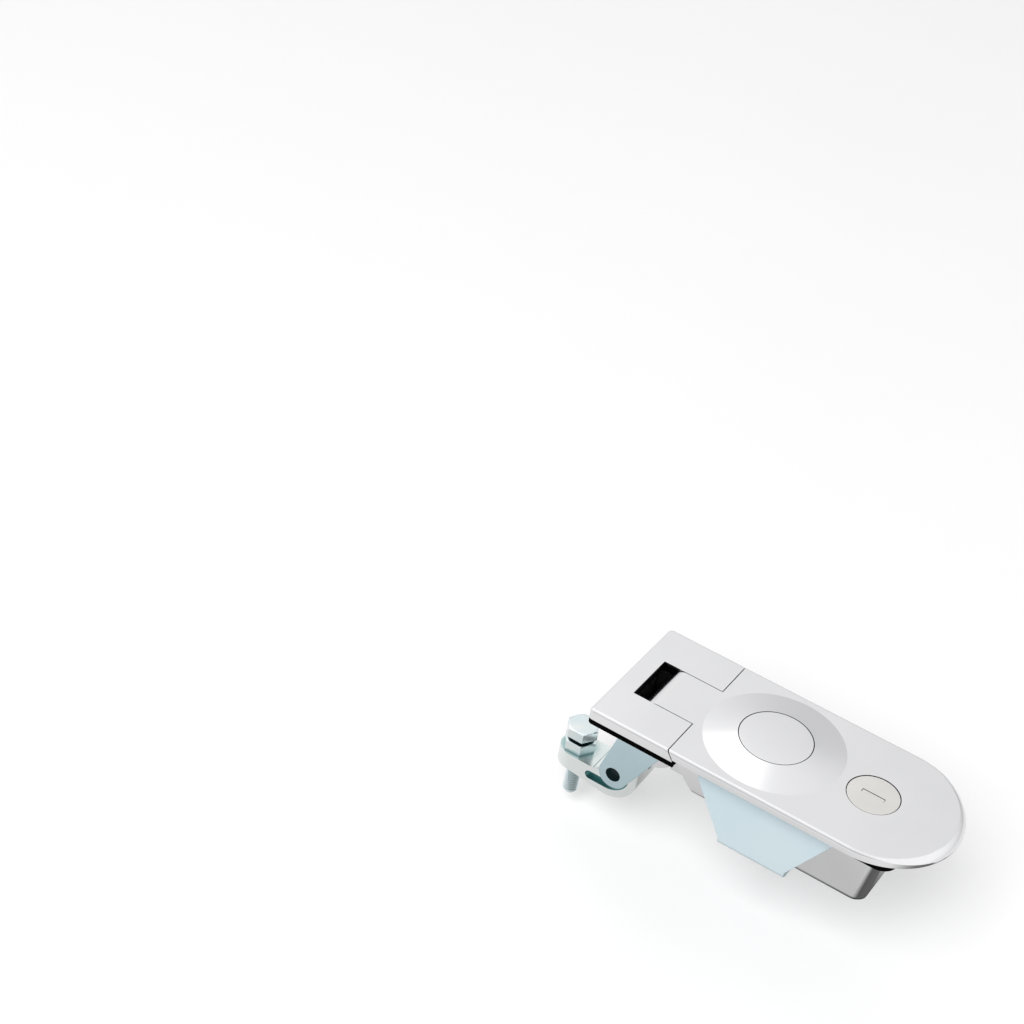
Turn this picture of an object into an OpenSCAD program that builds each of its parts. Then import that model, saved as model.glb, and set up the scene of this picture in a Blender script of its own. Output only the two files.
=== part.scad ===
// Flush compression latch: a lift handle with a push button and a key lock
// draws a hinged pawl against the frame behind a sealed panel.
// Frame: origin at the centre of the panel cut-out, on the panel's front face.
// +Z points out of the panel, +X runs from the hinge end to the grip end.

/* [Trim and handle] */
// Length over trim and handle
overall_length = 112; // [108:0.5:120]
// Width over trim and handle
overall_width = 50; // [49:0.5:56]
// Distance from the hinge end to the button's axis
hinge_to_button = 50.5; // [50:0.5:54]
// Height of the flat front face above the panel
face_height = 5.4; // [5.2:0.1:6.2]
// Thickness of the trim's and the handle's top plate
plate_thick = 1.4; // [1.2:0.1:1.6]
// Corner radius at the trim's hinge end
trim_corner = 1.6; // [1.2:0.1:4]
// Rounding of the outer front edges
edge_round = 1; // [0.4:0.1:1.2]
// Width of the handle's rim
rim_width = 1.5; // [1.2:0.1:1.7]
// Depth of the handle's rim below the front face
rim_height = 2.7; // [2.4:0.1:2.9]
// Bevel of the front face at the tip of the grip end
grip_bevel = 2.5; // [1.6:0.1:2.7]
// Distance from the hinge end to the window
window_inset = 6.6; // [6:0.1:7.5]
// Half width of the handle's tongue
tongue_half_width = 9.4; // [8:0.1:9.6]
// Radius of the dome on the front face
dome_radius = 22; // [19:0.1:22.4]
// Height of the dome above the front face
dome_height = 2.4; // [1.6:0.1:2.8]

/* [Seal] */
// Thickness of the gasket
gasket_thick = 2; // [1.6:0.1:2.4]
// Gasket's inset from the edge of the trim
gasket_inset = 0.1; // [0.05:0.05:0.6]
// Gasket's half width under the handle
gasket_half_width = 22.1; // [21.5:0.1:22.6]
// Gasket's width beyond the lock box at the grip end
gasket_margin = 4.1; // [3.4:0.1:4.6]
// Gasket's corner radius at the grip end
gasket_corner = 5.5; // [4.5:0.1:7]
// Distance of the groove in the gasket's rear from its edge
groove_inset = 1.1; // [0.8:0.1:1.5]

/* [Panel cut-out] */
// Length of the panel cut-out
cutout_length = 93; // [92.6:0.1:93.4]
// Width of the panel cut-out
cutout_width = 35; // [34.5:0.5:36]

/* [Housing] */
// Thickness of the housing's walls
wall = 1.6; // [1.3:0.1:1.8]
// Depth of the pan behind the panel
pan_depth = 13.8; // [13.4:0.1:15.2]
// Half width of the pan
pan_half_width = 16.5; // [16:0.1:17]
// Half width of the narrow part beside the hinge
neck_half_width = 11.2; // [11:0.1:11.6]
// Depth of the lock box behind the pan
box_step = 8.3; // [7.4:0.1:8.4]
// Length of the lock box at its rear face
box_length = 24.6; // [23.6:0.1:25]
// Half width of the lock box at its rear face
box_half_width = 15.9; // [15.5:0.1:16.2]
// Corner radius of the lock box
box_corner = 3.6; // [2.6:0.1:5]
// Rounding of the lock box's rear edges
box_round = 2.4; // [1.7:0.1:2.6]
// Width of the flange beyond the lock box at the grip end
flange_margin = 3.1; // [2.4:0.1:3.3]

/* [Hinge] */
// Distance from the hinge end to the handle's pivot
pivot_inset = 15.5; // [15.2:0.1:16]
// Depth of the pivot behind the panel
pivot_depth = 5.7; // [5.5:0.1:6.2]
// Radius of the pivot shaft
shaft_radius = 3; // [2.5:0.1:3.2]
// Radius of the barrel cover over the hinge
barrel_radius = 11.6; // [11.4:0.1:11.8]
// Radius of the two hinge cheeks
cheek_radius = 9.8; // [9:0.1:9.9]
// Outer half width over the cheeks
cheek_half_width = 12.3; // [12:0.1:12.4]

/* [Yoke and pawl] */
// Thickness of each yoke arm
arm_thick = 4; // [3:0.1:4.2]
// Radius of the arm's boss at the pivot
arm_boss_radius = 7; // [6:0.1:7.2]
// Radius of the arm's ring at the pawl pin
arm_ring_radius = 5; // [4.2:0.1:5.2]
// Distance from the pivot back to the pawl pin
pin_back = 6.6; // [6.2:0.1:7]
// Depth of the pawl pin behind the pivot
pin_drop = 16.7; // [16.5:0.1:17.5]
// Radius of the pawl pin
pin_radius = 2.45; // [2:0.05:2.5]
// Depth of the pawl pin's ends below the arms' outer faces
pin_recess = 3; // [1:0.1:3.2]
// Radius of the pawl's hub and of the yoke's necks
hub_radius = 4.2; // [3.8:0.1:4.3]
// Half thickness of the pawl
pawl_half_width = 6; // [5:0.1:6.2]
// Distance from the pawl pin out to the bolt's axis
bolt_reach = 20; // [19:0.5:24]
// Depth of the bolt boss's front face behind the pin
boss_drop = 11.8; // [11.5:0.1:13]
// Height of the bolt boss
boss_height = 5.9; // [5:0.1:7]
// Depth of the pockets in the pawl's sides
pocket_depth = 3; // [1:0.1:3.6]

/* [Adjusting bolt] */
// Radius of the adjusting bolt
bolt_radius = 2.5; // [2:0.1:3]
// Width across flats of the bolt's head and the jam nut
bolt_flats = 9.5; // [8:0.5:10]
// Height of the bolt's head
bolt_head = 3.5; // [3:0.1:4]
// Length of the bolt under its head
bolt_length = 25; // [22:0.5:30]
// Height of the jam nut
nut_height = 4; // [3:0.1:4.5]
// Gap between the head and the jam nut
head_gap = 1.5; // [0.5:0.1:3]

/* [Clamping bracket] */
// Thickness of the bracket's sheet
sheet = 2; // [1.5:0.1:2.2]
// Depth of the bracket's rear face behind the panel
bracket_depth = 24.5; // [24.4:0.1:28]
// Outer half width over the bracket's legs
bracket_half_width = 19.5; // [19.2:0.1:20]
// Length of the bracket at its plate
bracket_plate = 22.8; // [20:0.1:23]
// Length of the bracket at its feet
bracket_foot = 49; // [44:0.5:50]
// Distance from the button's axis to the clamping screw
screw_offset = 8; // [7.5:0.1:9]
// Radius of the clamping screw
screw_radius = 3; // [2.5:0.1:3]
// Radius of the clamping screw's flange
screw_flange = 6.8; // [6:0.1:7.5]
// Width across flats of the clamping screw's head
screw_flats = 10; // [8:0.5:10]

/* [Push button and catch] */
// Radius of the push button
button_radius = 11.4; // [10:0.1:11.6]
// Rise of the push button's crowned face
button_crown = 0.3; // [0.2:0.05:0.6]
// Travel of the push button
button_travel = 1.8; // [1.2:0.1:1.9]
// Radius of the push button's stem
stem_radius = 3; // [2.6:0.1:3.2]
// Half width of the sliding catch
catch_half_width = 6.5; // [5:0.1:6.6]
// Thickness of the sliding catch
catch_thick = 2.6; // [2.2:0.1:2.8]

/* [Key lock] */
// Distance from the button's axis to the lock's axis
lock_offset = 33.2; // [33:0.1:33.6]
// Radius of the lock plug's face
plug_face_radius = 8.1; // [7.6:0.1:8.4]
// Radius of the lock barrel
lock_radius = 7.4; // [6.8:0.1:7.5]
// Radius of the turning plug
plug_radius = 5; // [4.5:0.1:5.2]
// Length of the key slot
key_length = 7.5; // [6:0.1:8]
// Width of the key slot
key_width = 1.4; // [1:0.1:2]
// Length of the lock's cam from its axis
cam_length = 11.6; // [11:0.1:11.8]

/* [Clearances] */
// Gap between neighbouring moving pieces
gap = 0.3; // [0.25:0.01:0.35]
// Radial clearance of a turning or sliding fit
running = 0.06; // [0.02:0.01:0.1]

/* [Hidden] */
$fn = 64;

// Small amount by which cuts run past a face
past = 0.5;
half_w = overall_width / 2;
hinge_x = -hinge_to_button;
grip_x = hinge_x + overall_length;
round_x = grip_x - half_w;
plate_z = face_height - plate_thick;
window_x = hinge_x + window_inset;
slot_half_width = tongue_half_width + gap - 0.05;

// Hinge
pivot_x = hinge_x + pivot_inset;
pivot_z = -pivot_depth;
tongue_radius = face_height - pivot_z;
tongue_end_x = pivot_x - 5.6;
tongue_round = 5;
prong_radius = tongue_radius + 4.9;
shoulder_radius = prong_radius + gap;
cheek_inner = tongue_half_width + 0.5;
barrel_half_width = cheek_half_width - 1.5;
end_wall_x = pivot_x - barrel_radius + 0.4;
end_wall_thick = 1;
barrel_start = 180 + acos((pivot_x - end_wall_x) / barrel_radius);
barrel_start_z = pivot_z + barrel_radius * sin(barrel_start);
barrel_end = 322;
barrel_inner = barrel_radius - wall;

// Flange under the handle
flange_thick = plate_z - gap - gasket_thick;
flange_z = gasket_thick + flange_thick;
flange_clear = 0.9;
flange_half_width = half_w - rim_width - flange_clear;
flange_corner = 11;
rim_z = face_height - rim_height;
flange_start_x = pivot_x + 8;
bevel_x = round_x - grip_bevel;
hollow_x = round_x - grip_bevel / 2;

// Pan and lock box
neck_start_x = pivot_x + 9;
pan_start_x = pivot_x + 13;
pan_slope = 7.1;
box_start_x = 19.1;
box_depth = pan_depth + box_step;
box_end_x = box_start_x + box_length;
box_base_x = cutout_length / 2 - gap;
box_base_half = cutout_width / 2 - 0.5;
flange_reach = box_base_x + flange_margin;
gasket_reach = box_base_x + gasket_margin;
pan_inner_half = pan_half_width - wall;
lip_reach = 5;
lip_end_x = box_start_x + lip_reach;
screw_boss_radius = 5.8;
screw_boss_depth = pan_depth + 5.4;

// Yoke and pawl
arm_inner = cheek_half_width + gap;
arm_outer = arm_inner + arm_thick;
shaft_cover = 1;
pin_x = pivot_x - pin_back;
pin_z = pivot_z - pin_drop;
web_inner = barrel_radius + gap + 0.05;
web_outer = norm([pin_back, pin_drop]) - hub_radius - gap;
neck_inner = pawl_half_width + gap;
bolt_x = pin_x - bolt_reach;
boss_front_z = pin_z - boss_drop;
boss_rear_z = boss_front_z - boss_height;
nut_front_z = boss_front_z + nut_height;
head_rear_z = nut_front_z + head_gap;
pawl_spring_wire = 0.3;
pawl_spring_radius = pin_radius + 0.6;
pawl_spring_leg = 7.5;
pawl_spring_length = 3;
pawl_spring_y = 1.3;
spring_room = 0.3;
knee_radius = 10.2;
knee_x = pin_x + hub_radius - knee_radius;
knee_z = boss_rear_z + knee_radius - 1.8;

// Push button and catch
dome_edge_z = face_height + dome_height - button_crown;
dome_slope = (dome_edge_z - face_height) / (dome_radius - button_radius);
crown_radius = (button_radius * button_radius + button_crown * button_crown) / (2 * button_crown);
sleeve_radius = button_radius + gap - 0.05;
sleeve_outer = sleeve_radius + wall;
sleeve_depth = 5.2;
sleeve_floor_z = plate_z - sleeve_depth;
sleeve_floor_thick = 1.2;
cap_z = plate_z;
clip_thick = 0.8;
clip_z = sleeve_floor_z - 0.1 - clip_thick;
catch_top_z = clip_z - button_travel - gap;
catch_z = catch_top_z - catch_thick;
cone_top_z = catch_top_z + 0.2;
cone_height = stem_radius - 0.4;
guide_thick = 1.4;
guide_top_z = catch_z - 0.2;
guide_z = guide_top_z - guide_thick;
guide_post_y = 9.5;
guide_post_radius = 2.4;
guide_screw_radius = 1.25;
guide_screw_thread = 3;
striker_x = box_start_x;
striker_reach = 2.9;
striker_thick = 2.6;
striker_z = catch_top_z + gap;
nose_x = striker_x - gap;
catch_back_x = -16;
spring_post_x = catch_back_x - 5.5;
spring_post_thick = 1.6;
button_spring_radius = 5;
button_spring_wire = 0.35;
catch_spring_radius = 1.9;
catch_spring_wire = 0.3;

// Key lock
plug_hole_radius = plug_face_radius + gap - 0.05;
plug_face_thick = 2.2;
plug_face_z = face_height - 0.1;
lock_seat_z = plug_face_z - plug_face_thick - 0.2;
seat_wall = 1.1;
lock_sleeve_z = pivot_z + 0.5;
lock_sleeve_outer = lock_radius + running + wall;
lock_barrel_z = -pan_depth + 0.4;
lock_clip_thick = 1;
lock_clip_z = lock_sleeve_z - 0.05 - lock_clip_thick;
lock_groove_radius = lock_radius - 0.9;
cam_thick = 2;
cam_top_z = -pan_depth - 0.6;
cam_z = cam_top_z - cam_thick;
cam_half_width = 5;
cam_square = 6;
cam_screw_head = 1.9;
cam_screw_radius = 2;
cam_screw_thread = 4.8;

chrome = [0.86, 0.86, 0.87];
zinc = [0.76, 0.81, 0.81];
blue_zinc = [0.74, 0.80, 0.83];
rubber = [0.06, 0.06, 0.06];
nickel = [0.86, 0.84, 0.79];
steel = [0.62, 0.64, 0.65];

// Shape drawn in the X-Z plane, given thickness from y0 to y1
module across(y0, y1) {
    translate([0, y1, 0])
        rotate([90, 0, 0])
            linear_extrude(height = y1 - y0)
                children();
}

// Shape drawn in the Y-Z plane, given length from x0 to x1
module along(x0, x1) {
    translate([x0, 0, 0])
        rotate([90, 0, 90])
            linear_extrude(height = x1 - x0)
                children();
}

// Shape drawn in plan, given height from z0 to z1
module upright(z0, z1) {
    translate([0, 0, z0])
        linear_extrude(height = z1 - z0)
            children();
}

// Round bar along Y
module cross_bar(x, z, radius, y0, y1) {
    translate([x, y1, z])
        rotate([90, 0, 0])
            cylinder(r = radius, h = y1 - y0);
}

// Round bar along Z
module post(x, y, radius, z0, z1) {
    translate([x, y, z0])
        cylinder(r = radius, h = z1 - z0);
}

// Rectangle by its corners
module rect(x0, y0, x1, y1) {
    translate([x0, y0])
        square([x1 - x0, y1 - y0]);
}

// Strip with both corners at its x1 end rounded, half width w
module end_rounded(x0, x1, w, r) {
    rect(x0, -w, x1 - r, w);
    rect(x1 - r - past, -w + r, x1, w - r);
    for (side = [-1, 1])
        translate([x1 - r, side * (w - r)])
            circle(r = r);
}

// Outline of a bar that tapers between two round ends
module link(p, rp, q, rq) {
    d = q - p;
    turn = acos((rp - rq) / norm(d));
    dir = atan2(d[1], d[0]);
    translate(p)
        circle(r = rp);
    translate(q)
        circle(r = rq);
    polygon([
        p + rp * [cos(dir + turn), sin(dir + turn)],
        q + rq * [cos(dir + turn), sin(dir + turn)],
        q + rq * [cos(dir - turn), sin(dir - turn)],
        p + rp * [cos(dir - turn), sin(dir - turn)]
    ]);
}

// Sector of a ring about the drawing's origin
module ring_sector(inner, outer, from, to) {
    far = outer * 1.5;
    mid = (from + to) / 2;
    difference() {
        intersection() {
            circle(r = outer);
            polygon([
                [0, 0],
                far * [cos(from), sin(from)],
                far * [cos(mid), sin(mid)],
                far * [cos(to), sin(to)]
            ]);
        }
        circle(r = inner);
    }
}

// Half profile of a plate's edge with a rounded front corner, out to x = w
module edge_profile(w, z0, z1, r) {
    rect(0, z0, w, z1 - r);
    rect(0, z0, w - r, z1);
    translate([w - r, z1 - r])
        circle(r = r);
}

// The same profile for both edges of a plate
module plate_profile(w, z0, z1, r) {
    edge_profile(w, z0, z1, r);
    mirror([1, 0])
        edge_profile(w, z0, z1, r);
}

// Coil of round wire standing on z = 0
module coil(radius, wire, turns, height) {
    steps = 18;
    sides = 8;
    count = round(turns * steps);
    points = [for (i = [0 : count], j = [0 : sides - 1])
        let (
            angle = 360 * i / steps,
            rise = wire + (height - 2 * wire) * i / count,
            tilt = 360 * j / sides,
            reach = radius + wire * cos(tilt)
        )
        [reach * cos(angle), reach * sin(angle), rise + wire * sin(tilt)]];
    skin = [for (i = [0 : count - 1], j = [0 : sides - 1])
        let (k = (j + 1) % sides)
        [i * sides + j, i * sides + k, (i + 1) * sides + k, (i + 1) * sides + j]];
    first = [for (j = [sides - 1 : -1 : 0]) j];
    last = [for (j = [0 : sides - 1]) count * sides + j];
    polyhedron(points = points, faces = concat(skin, [first], [last]), convexity = 8);
}

// Six-sided prism across its flats
module hexagon(flats, height) {
    cylinder(r = flats / sqrt(3), h = height, $fn = 6);
}

// Hexagon with its end corners turned off at the top
module hex_head(flats, height) {
    intersection() {
        hexagon(flats, height);
        rotate_extrude()
            polygon([
                [0, 0],
                [flats, 0],
                [flats, height - flats * 0.27],
                [flats * 0.46, height],
                [0, height]
            ]);
    }
}

// Cross recess cut down from z = 0
module cross_recess(size, width, depth) {
    for (turn = [0, 90])
        rotate([0, 0, turn])
            translate([-size / 2, -width / 2, -depth])
                cube([size, width, depth + past]);
}

// Lock box with drafted walls, shrunk by the wall for its inside
module box_shape(inset, depth, start_x, top_z) {
    rear_half = box_half_width - inset;
    base_half = box_base_half - inset;
    r = box_corner - inset / 2;
    edge = box_round - inset;
    hull() {
        for (turn = [0 : 22.5 : 90])
            upright(-depth + edge * (1 - cos(turn)), -depth + edge * (1 - cos(turn)) + 0.1)
                end_rounded(start_x, box_end_x - inset - edge * (1 - sin(turn)),
                    rear_half - edge * (1 - sin(turn)), r, $fn = 32);
        upright(0, top_z)
            end_rounded(start_x, box_base_x - inset, base_half, r, $fn = 32);
    }
}

// Trim plate with its rounded front edge, from the hinge end to x = reach
module trim_plate(reach) {
    along(hinge_x + trim_corner, reach)
        plate_profile(half_w, gasket_thick, face_height, edge_round);
    across(-half_w + trim_corner, half_w - trim_corner)
        translate([hinge_x + half_w, 0])
            mirror([1, 0])
                edge_profile(half_w, gasket_thick, face_height, edge_round);
    for (side = [-1, 1])
        translate([hinge_x + trim_corner, side * (half_w - trim_corner), 0])
            rotate_extrude()
                edge_profile(trim_corner, gasket_thick, face_height, edge_round);
}

// Pan's side outline, with its sloped hinge-side wall
module pan_side(inset) {
    floor_z = -pan_depth + inset;
    polygon([
        [pan_start_x + inset, flange_z],
        [pan_start_x + inset, -pan_depth + pan_slope],
        [pan_start_x + inset * 1.4 + pan_slope - inset, floor_z],
        [box_start_x + wall + past, floor_z],
        [box_start_x + wall + past, flange_z]
    ]);
}

// Pan's cross-section with rounded rear edges
module pan_section(inset) {
    w = pan_half_width - inset;
    z = -pan_depth + inset;
    r = 1.8 - inset / 2;
    rect(-w, z + r, w, flange_z);
    rect(-w + r, z, w - r, flange_z);
    for (side = [-1, 1])
        translate([side * (w - r), z + r])
            circle(r = r);
}

// Solid or hollow of the pan
module pan_shape(inset) {
    intersection() {
        across(-half_w, half_w)
            pan_side(inset);
        along(pan_start_x - past, box_start_x + wall + past)
            pan_section(inset);
    }
}

module housing() {
    color(chrome)
    difference() {
        union() {
            // Trim with its two prongs beside the handle's tongue
            intersection() {
                trim_plate(pivot_x + prong_radius);
                union() {
                    cross_bar(pivot_x, pivot_z, prong_radius, -half_w, half_w);
                    across(-half_w, half_w)
                        rect(hinge_x, 0, pivot_x, face_height);
                }
            }
            // Flange under the handle
            upright(gasket_thick, flange_z)
                end_rounded(flange_start_x, flange_reach, flange_half_width, flange_corner);
            // Cheeks that carry the pivot shaft
            for (side = [0, 1])
                mirror([0, side, 0])
                    across(cheek_inner, cheek_half_width) {
                        translate([pivot_x, pivot_z])
                            circle(r = cheek_radius);
                        rect(end_wall_x, barrel_start_z, pan_start_x, gasket_thick + 0.2);
                    }
            // Barrel cover that closes the rear of the hinge, and its end wall
            across(-barrel_half_width, barrel_half_width)
                translate([pivot_x, pivot_z])
                    ring_sector(barrel_inner - 0.3, barrel_radius, barrel_start, barrel_end);
            across(-cheek_half_width, cheek_half_width)
                rect(end_wall_x, barrel_start_z, end_wall_x + end_wall_thick, gasket_thick + 0.2);
            // Narrow part between barrel and pan
            difference() {
                across(-neck_half_width, neck_half_width)
                    rect(neck_start_x, -pan_depth, pan_start_x + pan_slope + wall, flange_z);
                cross_bar(pivot_x, pivot_z, barrel_inner, -cheek_inner, cheek_inner);
                across(-cheek_inner, cheek_inner)
                    rect(neck_start_x - past, -pan_depth + wall, pan_start_x + pan_slope + 3, flange_z + past);
            }
            pan_shape(0);
            box_shape(0, box_depth, box_start_x, gasket_thick + 0.2);
            // Boss for the clamping screw
            post(screw_offset, 0, screw_boss_radius, -screw_boss_depth, -pan_depth + wall);
        }
        // Window and slot for the tongue
        upright(gasket_thick - past, face_height + past)
            rect(window_x, -slot_half_width, pan_start_x, slot_half_width);
        across(-cheek_inner, cheek_inner)
            rect(end_wall_x + end_wall_thick, pivot_z, pan_start_x + pan_slope, gasket_thick);
        // Hollow of the pan, with its mouth through the flange
        pan_shape(wall);
        across(-cheek_inner, cheek_inner)
            rect(neck_start_x + 3, -pan_depth + wall, pan_start_x + pan_slope + 3, flange_z + past);
        upright(-past, flange_z + past)
            rect(pan_start_x + wall, -pan_inner_half, lip_end_x, pan_inner_half);
        // Hollow of the lock box, past the lip that the cam turns under
        difference() {
            box_shape(wall, box_depth - wall, box_start_x + wall, flange_z + past);
            across(-half_w, half_w)
                rect(box_start_x - past, -pan_depth, lip_end_x, -pan_depth + wall);
        }
        // Holes for the shaft and the screw
        cross_bar(pivot_x, pivot_z, shaft_radius + running, -half_w, half_w);
        post(screw_offset, 0, screw_radius + running, -screw_boss_depth - past, -pan_depth + 0.5);
    }
    // Striker bar that the catch hooks under
    color(chrome)
        across(-pan_inner_half - past, pan_inner_half + past)
            rect(striker_x, striker_z, striker_x + striker_reach, striker_z + striker_thick);
}

// Gasket's outline, inset by d
module gasket_outline(d) {
    trim_end_x = pivot_x + prong_radius - 1.5;
    mirror([1, 0])
        end_rounded(-trim_end_x, -hinge_x - gasket_inset - d, half_w - gasket_inset - d, trim_corner);
    end_rounded(trim_end_x - past, gasket_reach - d, gasket_half_width - d, gasket_corner - d);
}

module gasket() {
    groove_width = 0.4;
    groove_depth = 0.3;
    color(rubber)
    difference() {
        upright(0, gasket_thick)
            gasket_outline(0);
        upright(-past, groove_depth)
            difference() {
                gasket_outline(groove_inset);
                gasket_outline(groove_inset + groove_width);
            }
        upright(-past, gasket_thick + past) {
            rect(end_wall_x - 0.1, -arm_outer - gap, pivot_x + cheek_radius - 1, arm_outer + gap);
            rect(pivot_x, -cheek_half_width, pan_start_x + past, cheek_half_width);
            end_rounded(pan_start_x, box_base_x + 0.1, box_base_half + 0.1, box_corner);
        }
    }
}

// Bracket's leg seen from the side: a trapezoid with one rounded foot corner
module bracket_side(plate_x, foot_x, bend) {
    rear = -bracket_depth;
    fold = rear + bend + 0.4;
    round_foot = 3;
    slant = atan2(fold, plate_x - foot_x);
    set_back = round_foot / tan(-slant / 2);
    corner = [foot_x, 0];
    center = corner + [set_back, -round_foot];
    outward = [sin(slant), -cos(slant)];
    difference() {
        polygon([
            [plate_x, rear - past],
            [plate_x, fold],
            corner,
            [foot_x + bracket_foot, 0],
            [plate_x + bracket_plate, fold],
            [plate_x + bracket_plate, rear - past]
        ]);
        difference() {
            polygon([
                corner + [set_back, 1],
                center,
                corner + set_back * [cos(slant), sin(slant)] + outward,
                corner + [-2, 1]
            ]);
            translate(center)
                circle(r = round_foot);
        }
    }
}

module bracket() {
    plate_x = screw_offset - 11.1;
    foot_x = screw_offset - 24.2;
    bend = 2.6;
    rear = -bracket_depth;
    w = bracket_half_width;
    color(blue_zinc)
    difference() {
        intersection() {
            along(foot_x - past, foot_x + bracket_foot + past)
                difference() {
                    union() {
                        rect(-w, rear + bend, w, 0);
                        rect(-w + bend, rear, w - bend, 0);
                        for (side = [-1, 1])
                            translate([side * (w - bend), rear + bend])
                                circle(r = bend);
                    }
                    rect(-w + sheet, rear + bend, w - sheet, past);
                    rect(-w + bend, rear + sheet, w - bend, past);
                    for (side = [-1, 1])
                        translate([side * (w - bend), rear + bend])
                            circle(r = bend - sheet);
                }
            across(-w - past, w + past)
                bracket_side(plate_x, foot_x, bend);
        }
        post(screw_offset, 0, screw_radius + 0.3, rear - past, rear + sheet + past);
    }
}

module bracket_screw() {
    seat = -bracket_depth;
    head = 3.8;
    color(zinc) {
        difference() {
            union() {
                translate([screw_offset, 0, seat])
                    mirror([0, 0, 1]) {
                        rotate_extrude()
                            polygon([
                                [0, 0],
                                [screw_flange, 0],
                                [screw_flange, 0.7],
                                [screw_flats / 2 - 0.5, 1.9],
                                [0, 1.9]
                            ]);
                        hex_head(screw_flats, head + 1.2);
                    }
                post(screw_offset, 0, screw_radius, seat - 1, -pan_depth + 0.2);
            }
            translate([screw_offset, 0, seat - head - 1.2])
                mirror([0, 0, 1])
                    cross_recess(5.6, 1.2, 2.2);
        }
    }
}

// Half profile of the grip end's bevel, a bulging chamfer
module bevel_profile() {
    bulge = 4;
    low = rim_z - past;
    top = [half_w, face_height];
    foot = [half_w + grip_bevel, face_height - grip_bevel];
    chord = foot - top;
    side = [chord[1], -chord[0]] / norm(chord);
    center = (top + foot) / 2 + side * sqrt(bulge * bulge - chord * chord / 4);
    polygon([[0, low], [foot[0], low], foot, top, [0, face_height]]);
    intersection() {
        translate(center)
            circle(r = bulge);
        polygon([top, foot, foot + [0, grip_bevel]]);
    }
}

// Handle's hub and tongue seen from the side
module tongue_side() {
    web_x = pivot_x + 5;
    round_z = face_height - tongue_round;
    rect(tongue_end_x + tongue_round, plate_z, pivot_x + 14, face_height);
    rect(tongue_end_x + tongue_round, pivot_z, web_x, face_height);
    rect(tongue_end_x, pivot_z, web_x, round_z);
    translate([tongue_end_x + tongue_round, round_z])
        circle(r = tongue_round);
    translate([pivot_x, pivot_z])
        circle(r = shaft_radius + 3.2);
    polygon([
        [web_x - past, plate_z - 3],
        [web_x + 3, plate_z],
        [web_x - past, plate_z + past]
    ]);
}

module handle() {
    rib_y = tongue_half_width - 2.6;
    rib_thick = 1.6;
    color(chrome)
    difference() {
        union() {
            // Top plate with its rim: straight sides and round grip end
            difference() {
                union() {
                    along(pivot_x, round_x)
                        plate_profile(half_w, rim_z, face_height, edge_round);
                    intersection() {
                        translate([round_x, 0, 0])
                            rotate_extrude()
                                edge_profile(half_w, rim_z, face_height, edge_round);
                        translate([bevel_x, 0, 0])
                            rotate_extrude()
                                bevel_profile();
                    }
                }
                upright(rim_z - past, plate_z) {
                    rect(pivot_x - past, -half_w + rim_width, hollow_x, half_w - rim_width);
                    translate([hollow_x, 0])
                        circle(r = half_w - rim_width);
                }
                cross_bar(pivot_x, pivot_z, shoulder_radius, -half_w - past, half_w + past);
            }
            // Dome round the button
            rotate_extrude()
                polygon([
                    [0, plate_z + 0.2],
                    [dome_radius + 1, plate_z + 0.2],
                    [dome_radius + 1, face_height - dome_slope],
                    [button_radius, dome_edge_z],
                    [0, dome_edge_z]
                ]);
            // Tongue and hub
            across(-tongue_half_width, tongue_half_width)
                tongue_side();
            // Stiffening ribs from the hub to the button's sleeve
            for (side = [-1, 1])
                across(side * rib_y - rib_thick / 2, side * rib_y + rib_thick / 2)
                    polygon([
                        [pivot_x + 3, pivot_z + 3],
                        [pivot_x + 3, plate_z + 0.2],
                        [-sleeve_radius + 3, plate_z + 0.2],
                        [-sleeve_radius + 3, sleeve_floor_z]
                    ]);
            // Sleeves for the button and the lock
            post(0, 0, sleeve_outer, sleeve_floor_z, plate_z + 0.4);
            post(lock_offset, 0, lock_sleeve_outer, lock_sleeve_z, plate_z + 0.4);
            post(lock_offset, 0, plug_hole_radius + seat_wall, lock_seat_z - seat_wall, plate_z + 0.4);
            // Posts for the catch's guide and the catch's spring
            for (side = [-1, 1])
                post(0, side * guide_post_y, guide_post_radius, guide_top_z, sleeve_floor_z + past);
            across(-rib_y, rib_y)
                rect(spring_post_x - spring_post_thick, catch_z, spring_post_x, plate_z + 0.2);
        }
        // Hollow under the dome
        rotate_extrude()
            polygon([
                [sleeve_outer, plate_z - past],
                [dome_radius + gap, plate_z - past],
                [dome_radius + gap, plate_z - dome_slope * gap],
                [sleeve_outer, plate_z + dome_slope * (dome_radius - sleeve_outer)]
            ]);
        // Button's well and stem hole
        post(0, 0, sleeve_radius, sleeve_floor_z + sleeve_floor_thick, face_height + dome_height + 2);
        post(0, 0, stem_radius + running, sleeve_floor_z - past, plate_z);
        for (side = [-1, 1])
            post(0, side * guide_post_y, guide_screw_radius + running, guide_top_z - past,
                guide_top_z + guide_screw_thread + 0.4);
        // Lock's hole and seat
        post(lock_offset, 0, plug_hole_radius, lock_seat_z, face_height + 1);
        post(lock_offset, 0, lock_radius + running, lock_sleeve_z - past, face_height);
        // Bore for the pivot shaft
        cross_bar(pivot_x, pivot_z, shaft_radius + running / 2, -half_w, half_w);
    }
}

module pivot_shaft() {
    chamfer = 0.4;
    length = 2 * arm_outer - shaft_cover;
    color(steel)
        translate([pivot_x, arm_outer, pivot_z])
            rotate([90, 0, 0])
                rotate_extrude()
                    polygon([
                        [0, 0],
                        [shaft_radius - chamfer, 0],
                        [shaft_radius, chamfer],
                        [shaft_radius, length - chamfer],
                        [shaft_radius - chamfer, length],
                        [0, length]
                    ]);
}

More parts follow.
